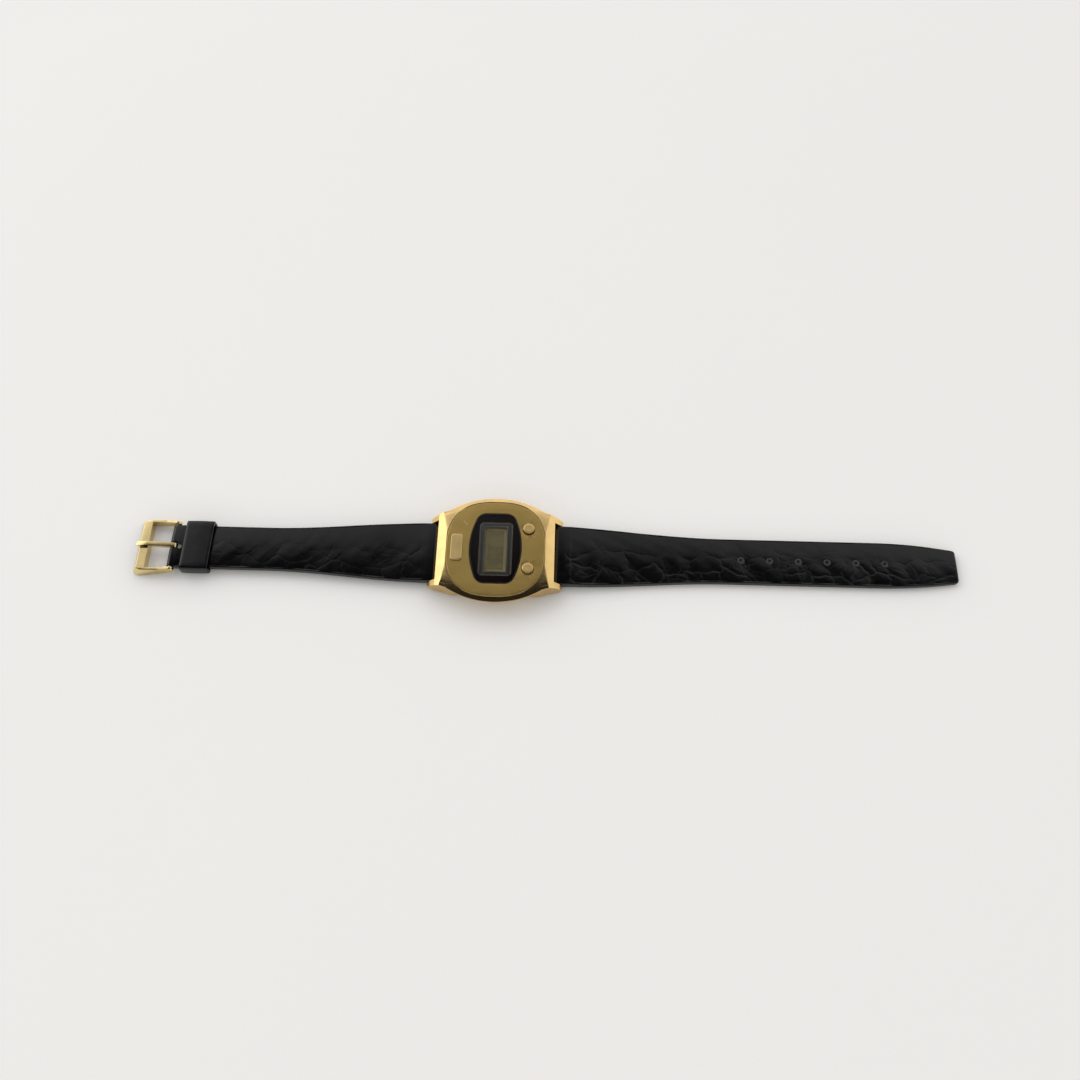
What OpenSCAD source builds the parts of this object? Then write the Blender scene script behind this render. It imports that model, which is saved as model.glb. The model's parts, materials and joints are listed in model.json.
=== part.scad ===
// Digital wristwatch with a leather strap, lying flat.
// X runs along the strap (buckle at -X, strap tip at +X), Y across it, Z up through the display.
// The origin is the centre of the case back's flat outer face.

/* [Case] */
// Length of the case between its two end faces
case_length = 31.6; // [31:0.1:33]
// Width of the case across its middle
case_width = 30.4; // [30:0.1:32]
// Radius of the bulging long sides
side_radius = 23; // [22.5:0.5:27]
// How far each flank draws in towards the back
flank_draw = 2.3; // [1.6:0.1:2.4]
// How far each end draws in towards the back
end_draw = 0.7; // [0.3:0.1:1]
// Inner height of the case, room for the movement
movement_height = 3.75; // [3.75:0.05:4.5]
// Thickness of the deck under the face plate
deck_thickness = 0.7; // [0.6:0.05:1]
// Depth that the face plate sits in the case
plate_inset = 0.6; // [0.5:0.05:0.7]
// Height of the slope from the face plate's rim down to the belt
slope_height = 0.5; // [0.4:0.05:0.7]
// Width of the rim round the face plate, at the top of the slope
rim_width = 0.35; // [0.25:0.05:0.5]
// Half length of the movement space
cavity_half_x = 11; // [11:0.1:11.4]
// Half width of the movement space
cavity_half_y = 11.6; // [11.6:0.1:12]

/* [Lugs and spring bars] */
// Distance between the two spring bar axes
bar_span = 33.6; // [33.4:0.1:35]
// Height of the spring bar axes
bar_height = 1.7; // [1.65:0.05:1.9]
// Radius of the rounded lug tips
lug_tip_radius = 1.1; // [0.9:0.05:1.1]
// Thickness of a lug at its tip
lug_thickness = 1.3; // [1.2:0.05:1.8]
// Side play of the strap between the lugs, each side
lug_play = 0.1; // [0.05:0.05:0.3]
// Outer radius of the spring bar tube
bar_radius = 0.75; // [0.65:0.05:0.8]
// Wall of the spring bar tube
bar_wall = 0.18; // [0.15:0.01:0.2]
// Radius of the spring bar pins
bar_pin_radius = 0.38; // [0.3:0.02:0.4]

/* [Face] */
// Half length of the face plate, along the strap
plate_half_x = 13.15; // [12.8:0.05:13.3]
// Half width of the face plate
plate_half_y = 13.65; // [13.2:0.05:13.8]
// Squareness of the face plate, 2 is an ellipse
plate_power = 2.6; // [2.4:0.1:2.8]
// Thickness of the face plate
plate_thickness = 0.8; // [0.75:0.05:1]
// Half length of the window, along the strap
window_half_x = 7; // [6.6:0.05:7.05]
// Half width of the window
window_half_y = 10.25; // [9.8:0.05:10.3]
// Radius of the window's bulging sides
window_side_radius = 22; // [18:0.5:24]
// Radius of the window's corners
window_corner_radius = 2.9; // [2.2:0.1:3]
// Thickness of the crystal
crystal_thickness = 0.8; // [0.7:0.05:1]
// Wall of the crystal gasket
gasket_wall = 0.3; // [0.25:0.05:0.4]
// Half length of the badge plate
badge_half_x = 1.5; // [1.2:0.05:1.8]
// Half width of the badge plate
badge_half_y = 3.85; // [3:0.05:4.5]
// Distance of the badge from the middle of the face
badge_offset = 10.4; // [10.2:0.05:10.6]
// Thickness of the badge plate
badge_thickness = 0.3; // [0.2:0.05:0.5]

/* [Display] */
// Half length of the display frame, along the strap
display_half_x = 4.55; // [4.4:0.05:4.7]
// Half width of the display frame
display_half_y = 7.9; // [7.6:0.05:8]
// Half length of the visible display
visible_half_x = 2.85; // [2.6:0.05:3.2]
// Half width of the visible display
visible_half_y = 6.45; // [6:0.05:6.8]
// Thickness of the liquid crystal cell
cell_thickness = 0.9; // [0.8:0.05:1]
// Thickness of the polariser and of the reflector
film_thickness = 0.12; // [0.1:0.01:0.15]

/* [Buttons] */
// Radius of a button's cap
button_radius = 1.5; // [1.35:0.05:1.6]
// Distance of the buttons from the middle of the face, along the strap
button_x = 8.75; // [8.7:0.05:8.8]
// Distance of each button from the centre line
button_y = 5.8; // [5.6:0.05:6]
// How far a button stands proud of the face plate
button_proud = 0.6; // [0.5:0.05:0.9]
// Travel of a button
button_travel = 0.4; // [0.2:0.05:0.45]
// Radius of a button's stem
stem_radius = 0.5; // [0.4:0.02:0.55]
// Wire radius of a button's spring
button_wire = 0.1; // [0.08:0.01:0.12]

/* [Movement] */
// Radius of the battery
battery_radius = 2.9; // [2.6:0.05:2.9]
// Height of the battery
battery_height = 2.15; // [1.6:0.05:2.15]
// Thickness of the circuit board
board_thickness = 0.5; // [0.4:0.05:0.6]
// Length of the quartz can
quartz_length = 6; // [5:0.1:6.2]
// Radius of the quartz can
quartz_radius = 0.95; // [0.8:0.05:1]

/* [Case back] */
// Thickness of the case back
back_thickness = 0.55; // [0.55:0.05:0.7]
// Height of the case back's snap lip
lip_height = 0.6; // [0.5:0.05:0.7]
// Wall of the case back's snap lip
lip_wall = 0.6; // [0.5:0.05:0.8]

/* [Strap] */
// Width of the strap between the lugs
strap_width = 17.2; // [16.8:0.1:17.8]
// Length of the short half, from spring bar to buckle pin
short_length = 70.3; // [68:0.1:80]
// Width of the short half at the buckle
short_end_width = 12.4; // [12:0.1:13.2]
// Length of the long half, from spring bar to tip
long_length = 107.1; // [104:0.1:125]
// Width of the long half before its last taper
long_end_width = 13; // [12.6:0.1:14]
// Width of the squared tip
tip_width = 9.4; // [9:0.1:11]
// Length over which the strap narrows from the lugs
narrowing = 44; // [36:1:48]
// Length of the taper into the tip
tip_taper = 22; // [16:1:26]
// Thickness of the strap
strap_thickness = 1.9; // [1.7:0.05:2.2]
// Thickness of the lining
lining_thickness = 0.6; // [0.5:0.05:0.7]
// Thickness of the core
core_thickness = 0.4; // [0.3:0.05:0.5]
// Radius of the loop round the spring bar
loop_radius = 1.35; // [1.2:0.05:1.4]
// Number of adjusting holes
hole_count = 6; // [4:1:7]
// Spacing of the adjusting holes
hole_pitch = 7.7; // [6:0.1:8]
// Distance from the tip to the last hole
hole_from_tip = 19.5; // [18:0.1:24]
// Radius of an adjusting hole
hole_radius = 1; // [0.8:0.05:1.1]

/* [Keeper] */
// Length of the keeper, along the strap
keeper_length = 7.5; // [5:0.1:8]
// Thickness of the keeper
keeper_wall = 0.7; // [0.6:0.05:0.8]
// Extra thickness of the keeper's sides
keeper_side = 0.2; // [0.1:0.05:0.5]
// Room left above the strap while the empty keeper lies flat
keeper_room = 0.3; // [0.3:0.05:1.5]

/* [Buckle] */
// Length of the buckle, from pin to outer edge
buckle_length = 10.2; // [9.6:0.1:12]
// Width of the bar that the tongue rests on
buckle_bar = 3.4; // [2.8:0.1:3.6]
// Height of the buckle frame
buckle_height = 2.4; // [2.2:0.1:2.8]
// Width of each buckle arm at the pin
arm_width = 0.95; // [0.8:0.05:1.2]
// How much wider each side of the buckle is at its outer edge
buckle_flare = 0.7; // [0.4:0.05:0.8]
// Width of the slope from the outer edge up to the ridge of the bar
bar_slope = 2.1; // [1.6:0.1:2.3]
// Width of the slope on the outside of the arms, at the bar
arm_slope = 1.1; // [0.8:0.05:1.2]
// Radius of the buckle pin
buckle_pin_radius = 0.6; // [0.5:0.05:0.65]
// Width of the tongue
tongue_width = 1.2; // [1:0.05:1.6]
// Thickness of the tongue
tongue_thickness = 0.75; // [0.6:0.05:0.9]

/* [Hidden] */
$fn = 96;

// Clearances
fit = 0.05;        // pieces seated in one another
running = 0.05;    // round pieces that turn or slide in one another
soft_gap = 0.1;    // between leather and metal
eps = 0.01;        // overshoot of cuts

// Heights of the case, from the table up
deck_bottom = back_thickness + movement_height;
deck_top = deck_bottom + deck_thickness;
shoulder = deck_top + plate_inset;
belt_top = shoulder - slope_height;
belt_bottom = belt_top - 0.5;
plate_top = deck_top + plate_thickness;
mask_thickness = 0.15;
crystal_bottom = deck_top + mask_thickness;

// Ends and lugs
bar_x = bar_span / 2;
lug_gap = strap_width + 2 * lug_play;
bar_clearance = loop_radius + 0.3;
facet_x = plate_half_x + 1.5;
facet_drop = 0.6;
end_drop = 1.4;
lug_root_x = 12;
lip_in = 0.35;

// Spring bars
bar_half = strap_width / 2 - 0.5;
bar_collar = 0.8;
bar_neck = 0.35;
collar_radius = bar_radius - bar_wall - running;
pin_reach = lug_gap / 2 + lug_thickness - 0.45;
lug_hole_depth = lug_thickness - 0.4;

// Movement
board_top = back_thickness + 1.5;
board_half_y = 8.4;
blade_gap = 0.05;
boss_drop = 1;
boss_radius = button_radius + 0.55;
seat_z = deck_bottom - 0.5;
boss_bottom = deck_bottom - boss_drop;
cell_top = deck_bottom - fit - film_thickness;
cell_bottom = cell_top - cell_thickness;
cell_half_x = display_half_x + 0.3;
cell_half_y = display_half_y + 0.35;
battery_x = cell_half_x + battery_radius + 0.2;
battery_bottom = back_thickness + 0.7;
clamp_z = battery_bottom - 0.25;
screw_y = battery_radius + 1.2;
frame_bottom = board_top - board_thickness - 0.2;
frame_top = deck_bottom - fit;
strip_half_y = display_half_y - 0.6;
strip_x = cell_half_x - 0.65;

// Buttons
button_top = plate_top + button_proud;
cap_bottom = deck_top + 0.3;
stem_bottom = boss_bottom - 0.35;
clip_low = boss_bottom - 0.27;
blade_z = stem_bottom - button_travel - blade_gap;

// Strap
keeper_lift = keeper_wall + soft_gap;
strap_low = keeper_lift;
hole_first = bar_x + long_length - hole_from_tip;
pin_x = -bar_x - short_length;
fold_radius = 1.05;
pin_z = strap_low + fold_radius;
slot_depth = 2.4;
keeper_x = pin_x + 2.9 + keeper_length / 2;
keeper_inner = short_end_width / 2 + 0.25;
keeper_outer = keeper_inner + keeper_wall + keeper_side;
buckle_inner = short_end_width / 2 + 0.2;
buckle_outer = buckle_inner + arm_width;
low_edge = 0.5;

// Superellipse, from an ellipse at power 2 towards a rectangle
function sgn_pow(v, p) = sign(v) * pow(abs(v), p);
function oval(a, b, power, steps = 96) = [for (i = [0:steps - 1]) let (t = 360 * i / steps)
    [a * sgn_pow(cos(t), 2 / power), b * sgn_pow(sin(t), 2 / power)]];
module cushion(a, b) { polygon(oval(a, b, plate_power)); }

// Points of an arc
function arc(c, r, from, to, steps) = [for (i = [0:steps]) let (t = from + (to - from) * i / steps)
    [c[0] + r * cos(t), c[1] + r * sin(t)]];

// Barrel outline: flat top and bottom, bulging sides, round corners; grow shifts the whole edge
function barrel_corner(a, b, side, corner) = [
    sqrt(pow(side - corner, 2) - pow(b - corner, 2)) - (side - a), b - corner];
function barrel_quarter(a, b, side, corner) = let (c = barrel_corner(a, b, side, corner),
    turn = atan2(c[1], c[0] + side - a)) concat(arc([a - side, 0], side, 0, turn, 10),
    arc(c, corner, turn, 90, 10));
function mirror_points(points, sx, sy) = [for (p = points) [p[0] * sx, p[1] * sy]];
function reverse(points) = [for (i = [len(points) - 1:-1:0]) points[i]];
module barrel(grow) {
    q = barrel_quarter(window_half_x + grow, window_half_y + grow, window_side_radius + grow,
        window_corner_radius + grow);
    polygon(concat(q, reverse(mirror_points(q, -1, 1)), mirror_points(q, -1, -1),
        reverse(mirror_points(q, 1, -1))));
}

// Rounded rectangle with true arcs
module rounded(a, b, r) {
    square([2 * a, 2 * (b - r)], center = true);
    square([2 * (a - r), 2 * b], center = true);
    for (x = [-1, 1], y = [-1, 1]) translate([x * (a - r), y * (b - r)]) circle(r);
}

// One unbroken helix of round wire, along Z from 0 to height
function ring_points(r, wire, turns, height, i, rings, sides) = let (t = 360 * turns * i / rings)
    [for (k = [0:sides - 1]) let (a = 360 * k / sides, q = r + wire * cos(a))
        [q * cos(t), q * sin(t), wire + (height - 2 * wire) * i / rings + wire * sin(a)]];
module helix(r, wire, turns, height) {
    sides = 6;
    rings = 8 * turns;
    points = [for (i = [0:rings]) each ring_points(r, wire, turns, height, i, rings, sides)];
    walls = [for (i = [0:rings - 1], k = [0:sides - 1]) let (n = (k + 1) % sides)
        each [[i * sides + k, (i + 1) * sides + k, (i + 1) * sides + n],
            [i * sides + k, (i + 1) * sides + n, i * sides + n]]];
    ends = [[for (k = [0:sides - 1]) k], [for (k = [sides - 1:-1:0]) rings * sides + k]];
    polyhedron(points, concat(walls, ends));
}

module across(length) {
    rotate([90, 0, 0]) translate([0, 0, -length / 2]) linear_extrude(length) children();
}
module slab(low, high) { translate([0, 0, low]) linear_extrude(high - low) children(); }
module bar_cylinder(x, z, r, low, high) {
    translate([x, low, z]) rotate([-90, 0, 0]) cylinder(r = r, h = high - low);
}

// Case
module case_plan() {
    intersection() {
        for_side = case_width / 2 - side_radius;
        translate([0, for_side]) circle(side_radius, $fn = 192);
        translate([0, -for_side]) circle(side_radius, $fn = 192);
        square([case_length, case_width], center = true);
    }
}
module lug_plan() {
    root_y = case_width / 2 - side_radius + sqrt(pow(side_radius, 2) - pow(lug_root_x, 2));
    tip_x = bar_x + lug_tip_radius;
    for (x = [-1, 1], y = [-1, 1]) scale([x, y])
        polygon([[lug_root_x - 3, lug_gap / 2], [tip_x, lug_gap / 2],
            [tip_x, lug_gap / 2 + lug_thickness], [lug_root_x + 2, root_y - 0.9],
            [lug_root_x, root_y - 0.2], [lug_root_x - 3, root_y - 0.2]]);
}
function end_profile() = concat([[bar_x, bar_height - lug_tip_radius]],
    arc([bar_x, bar_height], lug_tip_radius, -80, 40, 8),
    [[case_length / 2, shoulder - end_drop], [facet_x, shoulder - facet_drop],
        [plate_half_x + 0.1, shoulder]]);
module side_profile() {
    right = end_profile();
    polygon(concat([[bar_x - 3, back_thickness]], right, reverse(mirror_points(right, -1, 1)),
        [[3 - bar_x, back_thickness]]));
}
module case_blank() {
    intersection() {
        union() {
            translate([0, 0, belt_bottom]) mirror([0, 0, 1])
                linear_extrude(belt_bottom - back_thickness, slices = 1,
                    scale = [1 - 2 * end_draw / case_length, 1 - 2 * flank_draw / case_width]) case_plan();
            slab(belt_bottom, belt_top) case_plan();
            hull() {
                slab(belt_top - eps, belt_top) case_plan();
                slab(shoulder - eps, shoulder) cushion(plate_half_x + rim_width, plate_half_y + rim_width);
            }
            slab(back_thickness, belt_top) lug_plan();
        }
        across(case_width + 2) side_profile();
    }
}
module button_places() { for (y = [-1, 1]) translate([button_x, y * button_y, 0]) children(); }
module case_body() {
    color("goldenrod") difference() {
        union() {
            difference() {
                case_blank();
                slab(-eps, deck_bottom) cushion(cavity_half_x, cavity_half_y);
            }
            button_places() translate([0, 0, boss_bottom]) cylinder(r = boss_radius, h = boss_drop + eps);
        }
        slab(deck_top, shoulder + 1) cushion(plate_half_x + fit, plate_half_y + fit);
        slab(deck_bottom - eps, deck_top + 1) rounded(display_half_x + fit, display_half_y + fit, 1.2);
        button_places() {
            translate([0, 0, seat_z]) cylinder(r = button_radius + fit, h = 3);
            cylinder(r = stem_radius + running, h = deck_top);
        }
        for (x = [-1, 1]) {
            bar_cylinder(x * bar_x, bar_height, bar_clearance, -lug_gap / 2, lug_gap / 2);
            translate([x * (bar_x + 2), 0, bar_height - 4])
                cube([4 + 2 * bar_clearance, lug_gap, 8], center = true);
            translate([x * (case_length / 2 + 3), 0, bar_height + 3]) cube([6, lug_gap, 6], center = true);
            bar_cylinder(x * bar_x, bar_height, bar_pin_radius + running,
                -lug_gap / 2 - lug_hole_depth, lug_gap / 2 + lug_hole_depth);
        }
    }
}

// Face
module face_plate() {
    color("darkgoldenrod") difference() {
        slab(deck_top, plate_top) cushion(plate_half_x, plate_half_y);
        slab(deck_top - eps, plate_top + eps) barrel(0);
        button_places() translate([0, 0, deck_top - eps])
            cylinder(r = button_radius + fit, h = plate_thickness + 1);
    }
}
module badge_plate() {
    color("khaki") translate([-badge_offset, 0, plate_top])
        linear_extrude(badge_thickness) rounded(badge_half_x, badge_half_y, 0.7);
}
module crystal() {
    color("dimgray", 0.4) slab(crystal_bottom, crystal_bottom + crystal_thickness)
        barrel(-gasket_wall - fit);
}
module crystal_gasket() {
    color("black") difference() {
        slab(deck_top, plate_top - 0.05) barrel(-0.02);
        slab(deck_top - eps, plate_top + eps) barrel(-gasket_wall);
    }
}
module window_mask() {
    color("black") difference() {
        slab(deck_top, crystal_bottom) barrel(-gasket_wall - fit);
        slab(deck_top - eps, plate_top) rounded(display_half_x, display_half_y, 1.2);
    }
}

// Display
module display_frame() {
    color("dimgray") difference() {
        slab(deck_bottom, deck_top) rounded(display_half_x, display_half_y, 1.2);
        slab(deck_bottom - eps, deck_top + eps)
            square([2 * visible_half_x, 2 * visible_half_y], center = true);
    }
}
module display_sheet(low, high, inset) {
    slab(low, high) square([2 * (cell_half_x - inset), 2 * (cell_half_y - inset)], center = true);
}
module display_polariser() {
    color("darkolivegreen") display_sheet(cell_top, cell_top + film_thickness, 0.3);
}
module display_cell() { color("darkkhaki") display_sheet(cell_bottom, cell_top, 0); }
module display_reflector() {
    color("silver") slab(cell_bottom - film_thickness, cell_bottom)
        square([2 * (strip_x - 0.5), 2 * cell_half_y - 0.6], center = true);
}
module connector_strips() {
    color("lightgray") for (x = [-1, 1]) translate([x * strip_x, 0, (board_top + cell_bottom) / 2])
        cube([0.8, 2 * strip_half_y, cell_bottom - board_top], center = true);
}

// Movement
module board_plan(grow) {
    right = button_x + 0.9;
    polygon([[-cell_half_x - grow, -board_half_y - grow], [cell_half_x + grow, -board_half_y - grow],
        [right + grow, -button_y + 1.4 - grow], [right + grow, button_y - 1.4 + grow],
        [cell_half_x + grow, board_half_y + grow], [-cell_half_x - grow, board_half_y + grow]]);
}
module module_frame() {
    color("ivory") difference() {
        slab(frame_bottom, frame_top) cushion(cavity_half_x - fit, cavity_half_y - fit);
        slab(frame_bottom - eps, board_top) board_plan(fit);
        slab(cell_bottom - film_thickness - fit, frame_top + eps)
            square(2 * [cell_half_x + fit, cell_half_y + fit], center = true);
        for (x = [-1, 1]) translate([x * strip_x, 0, board_top])
            cube([0.9, 2 * strip_half_y + 0.1, 3], center = true);
        button_places() cylinder(r = boss_radius + 0.3, h = deck_top);
        translate([-battery_x, 0, 0])
            cylinder(r = battery_radius + fit, h = battery_bottom + battery_height + 0.15);
        translate([button_x, 0, board_top]) rotate([90, 0, 0])
            cylinder(r = quartz_radius + 1, h = quartz_length + 0.1, center = true);
        for (y = [-1, 1]) translate([-battery_x, y * screw_y, 0]) cylinder(r = 0.45, h = frame_bottom + 1.3);
    }
}
module circuit_board() {
    color("seagreen") difference() {
        slab(board_top - board_thickness, board_top) board_plan(0);
        translate([0, 0, -eps]) cylinder(r = 0.5, h = deck_top);
    }
}
module chip() {
    color("black") translate([0, 3, board_top - board_thickness - 0.4]) {
        cylinder(r1 = 2.2, r2 = 2.8, h = 0.4);
    }
}
module quartz_can() {
    color("silver") translate([button_x, 0, board_top + quartz_radius]) rotate([90, 0, 0])
        cylinder(r = quartz_radius, h = quartz_length, center = true);
}
module trimmer() {
    color("peru") translate([2, -5.5, board_top - board_thickness - 0.45]) difference() {
        cylinder(r = 1.4, h = 0.45);
        cube([1.6, 0.35, 0.3], center = true);
    }
}
module switch_blades() {
    color("gold") button_places() {
        blade_side = [-1.7, -0.35, board_top];
        translate(blade_side) cube([0.9, 0.7, 0.15]);
        translate(blade_side) cube([0.12, 0.7, blade_z - board_top]);
        translate([-1.7, -0.35, blade_z - 0.12]) cube([2.2, 0.7, 0.12]);
    }
}
module battery() {
    color("silver") translate([-battery_x, 0, battery_bottom]) {
        cylinder(r = battery_radius, h = battery_height - 0.25);
        cylinder(r = battery_radius - 0.5, h = battery_height);
    }
}
module battery_contact() {
    color("gold") translate([-battery_x, 0, battery_bottom + battery_height]) {
        translate([-1, -0.6, 0]) cube([2.2, 1.2, 0.1]);
    }
}
module battery_clamp() {
    color("silver") difference() {
        translate([-battery_x, 0, clamp_z + 0.1]) cube([2, 2 * screw_y + 2, 0.2], center = true);
        for (y = [-1, 1]) translate([-battery_x, y * screw_y, 0]) cylinder(r = 0.5, h = 3);
    }
}
module clamp_screws() {
    color("silver") for (y = [-1, 1]) translate([-battery_x, y * screw_y, clamp_z]) {
        cylinder(r = 0.4, h = frame_bottom + 1.2 - clamp_z);
        difference() {
            translate([0, 0, -0.2]) cylinder(r = 0.75, h = 0.2);
            cube([1.6, 0.2, 0.2], center = true);
        }
    }
}

// Case back
module case_back() {
    color("silver") {
        slab(0, back_thickness) cushion(cavity_half_x + 0.8, cavity_half_y + 0.8);
        difference() {
            slab(back_thickness - eps, back_thickness + lip_height)
                cushion(cavity_half_x - lip_in, cavity_half_y - lip_in);
            slab(back_thickness, deck_bottom)
                cushion(cavity_half_x - lip_in - lip_wall, cavity_half_y - lip_in - lip_wall);
        }
    }
}
module back_gasket() {
    color("black") difference() {
        slab(back_thickness, back_thickness + lip_height - 0.1)
            cushion(cavity_half_x - 0.02, cavity_half_y - 0.02);
        slab(0, deck_bottom) cushion(cavity_half_x - lip_in + 0.02, cavity_half_y - lip_in + 0.02);
    }
}

// Buttons, drawn at the middle of the face and moved to their places
module at_button(side) { translate([button_x, side * button_y, 0]) children(); }
module button(side) {
    color("gold") at_button(side) rotate_extrude($fn = 128) polygon([
        [0, stem_bottom], [stem_radius, stem_bottom], [stem_radius, clip_low],
        [stem_radius - 0.15, clip_low], [stem_radius - 0.15, clip_low + 0.22],
        [stem_radius, clip_low + 0.22], [stem_radius, cap_bottom], [button_radius, cap_bottom],
        [button_radius, cap_bottom + 0.25], [button_radius - 0.2, cap_bottom + 0.25],
        [button_radius - 0.2, cap_bottom + 0.61], [button_radius, cap_bottom + 0.61],
        [button_radius, button_top - 0.1], [button_radius - 0.1, button_top], [0, button_top]]);
}
module button_spring(side) {
    color("silver") at_button(side) translate([0, 0, seat_z + 0.02])
        helix((stem_radius + button_radius) / 2, button_wire, 3, cap_bottom - seat_z - 0.04);
}
module button_seal(side) {
    color("black") at_button(side) translate([0, 0, cap_bottom + 0.43])
        rotate_extrude() translate([button_radius - 0.1, 0]) circle(0.1, $fn = 24);
}
module button_clip(side) {
    color("silver") at_button(side) translate([0, 0, clip_low + 0.03]) difference() {
        cylinder(r = 1, h = 0.16);
        translate([0, 0, -1]) cylinder(r = stem_radius - 0.13, h = 2);
        translate([0, -0.3, -1]) cube([2, 0.6, 2]);
    }
}
module button_far() { button(1); }
module button_far_spring() { button_spring(1); }
module button_far_seal() { button_seal(1); }
module button_far_clip() { button_clip(1); }
module button_near() { button(-1); }
module button_near_spring() { button_spring(-1); }
module button_near_seal() { button_seal(-1); }
module button_near_clip() { button_clip(-1); }

// Spring bars
module bar_tube(side) {
    x = side * bar_x;
    color("silver") difference() {
        bar_cylinder(x, bar_height, bar_radius, -bar_half, bar_half);
        bar_cylinder(x, bar_height, bar_radius - bar_wall, -bar_half + bar_neck, bar_half - bar_neck);
        bar_cylinder(x, bar_height, bar_pin_radius + running, -bar_half - 1, bar_half + 1);
    }
}
module bar_pin(side, end) {
    x = side * bar_x;
    inner = bar_half - bar_neck - fit;
    color("lightgray") scale([1, end, 1]) {
        bar_cylinder(x, bar_height, collar_radius, inner - bar_collar, inner);
        bar_cylinder(x, bar_height, bar_pin_radius, inner - eps, pin_reach);
    }
}
module bar_spring(side) {
    reach = bar_half - bar_neck - fit - bar_collar - 0.03;
    color("silver") translate([side * bar_x, reach, bar_height]) rotate([90, 0, 0])
        helix(collar_radius - 0.09, 0.07, 9, 2 * reach);
}
module short_bar_tube() { bar_tube(-1); }
module short_bar_pin_far() { bar_pin(-1, 1); }
module short_bar_pin_near() { bar_pin(-1, -1); }
module short_bar_spring() { bar_spring(-1); }
module long_bar_tube() { bar_tube(1); }
module long_bar_pin_far() { bar_pin(1, 1); }
module long_bar_pin_near() { bar_pin(1, -1); }
module long_bar_spring() { bar_spring(1); }

// Strap, each half drawn towards +X from its spring bar at x = 0, then turned into place
function ease(t) = t <= 0 ? 1 : t >= 1 ? 0 : (1 + cos(180 * t)) / 2;
function strap_half(s, end_width) = (end_width + (strap_width - end_width) * ease((s - 1.2) / narrowing)) / 2;
function tip_half(s) = let (t = (s - long_length + tip_taper) / tip_taper)
    strap_half(s, long_end_width) - (t <= 0 ? 0 : t * t * (long_end_width - tip_width) / 2);
module short_plan(inset) {
    far_end = short_length + fold_radius + 1;
    points = concat([[-3, strap_width / 2 - inset]],
        [for (i = [0:16]) let (s = narrowing * i / 14) [s, strap_half(s, short_end_width) - inset]],
        [[far_end, short_end_width / 2 - inset]]);
    polygon(concat(points, reverse(mirror_points(points, 1, -1))));
}
module long_plan(inset) {
    taper_from = long_length - tip_taper;
    points = concat([[-3, strap_width / 2 - inset]],
        [for (i = [0:14]) let (s = narrowing * i / 14) [s, tip_half(s) - inset]],
        [for (i = [0:8]) let (s = taper_from + (tip_taper - 0.7) * i / 8) [s, tip_half(s) - inset]],
        [[long_length - 0.2, tip_width / 2 - 0.25 - inset], [long_length, tip_width / 2 - 0.9 - inset]]);
    polygon(concat(points, reverse(mirror_points(points, 1, -1))));
}
// Outline of a layer seen from the side, between two heights above the strap's underside
module short_layer(from, to, low, high) {
    polygon([[from, strap_low + low], [to, strap_low + low],
        [to, strap_low + high], [from, strap_low + high]]);
}
function long_low(s) = s < 3 ? 0.55 : s < 22 ? 0.55 * (22 - s) / 19 : 0;
function long_high(s) = long_low(s) + (s < 3 ? 2.2 : s < 22 ? strap_thickness + 0.3 * (22 - s) / 19
    : s < long_length - 12 ? strap_thickness : strap_thickness - 0.3 * (s - long_length + 12) / 12);
module long_layer(from, to, low, high) {
    stations = concat([from], [for (s = [3, 12, 22, long_length - 12]) if (s > from && s < to) s], [to]);
    bottom = [for (s = stations) [s, long_low(s) + low]];
    top = [for (s = stations) [s, high > 0 ? long_low(s) + high : long_high(s)]];
    polygon(concat(bottom, reverse(top)));
}
core_low = lining_thickness;
core_high = lining_thickness + core_thickness;
lining_from = loop_radius + 1.6;
core_from = loop_radius + 3;
module loop_side(r) { translate([0, bar_height]) circle(r); }

module place_short() { translate([-bar_x, 0, 0]) mirror([1, 0, 0]) children(); }
module place_long() { translate([bar_x, 0, 0]) children(); }

module short_core() {
    intersection() {
        slab(-1, 6) short_plan(0.9);
        across(strap_width) short_layer(core_from, short_length - 5, core_low, core_high);
    }
}
module short_strap_upper() {
    fold_from = short_length - 4.5;
    color([0.09, 0.08, 0.09]) place_short() difference() {
        intersection() {
            slab(-1, 8) short_plan(0);
            across(strap_width) {
                loop_side(loop_radius);
                short_layer(0, short_length, lining_thickness, strap_thickness);
                short_layer(0, lining_from, 0, strap_thickness);
                short_layer(fold_from, short_length, 0, 2 * fold_radius);
                translate([short_length, pin_z]) circle(fold_radius);
            }
        }
        short_core();
        bar_cylinder(0, bar_height, bar_radius + running, -strap_width, strap_width);
        bar_cylinder(short_length, pin_z, buckle_pin_radius + running, -strap_width, strap_width);
        translate([short_length - slot_depth, -tongue_width / 2 - 0.4, -1])
            cube([slot_depth + 4, tongue_width + 0.8, 9]);
    }
}
module short_strap_core() { color([0.45, 0.4, 0.33]) place_short() short_core(); }
module short_strap_lining() {
    color([0.2, 0.17, 0.15]) place_short() intersection() {
        slab(-1, 6) short_plan(0.15);
        across(strap_width) short_layer(lining_from, short_length - 4.5, 0, lining_thickness);
    }
}
module keeper_loop() {
    low = strap_low - soft_gap - keeper_wall;
    high = strap_low + strap_thickness + keeper_room + keeper_wall;
    mid = (low + high) / 2;
    half = (high - low) / 2;
    color([0.12, 0.12, 0.13]) translate([keeper_x - keeper_length / 2, 0, mid])
        rotate([90, 0, 90]) linear_extrude(keeper_length) difference() {
            rounded(keeper_outer, half, 0.8);
            rounded(keeper_inner, half - keeper_wall, 0.3);
        }
}

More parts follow.
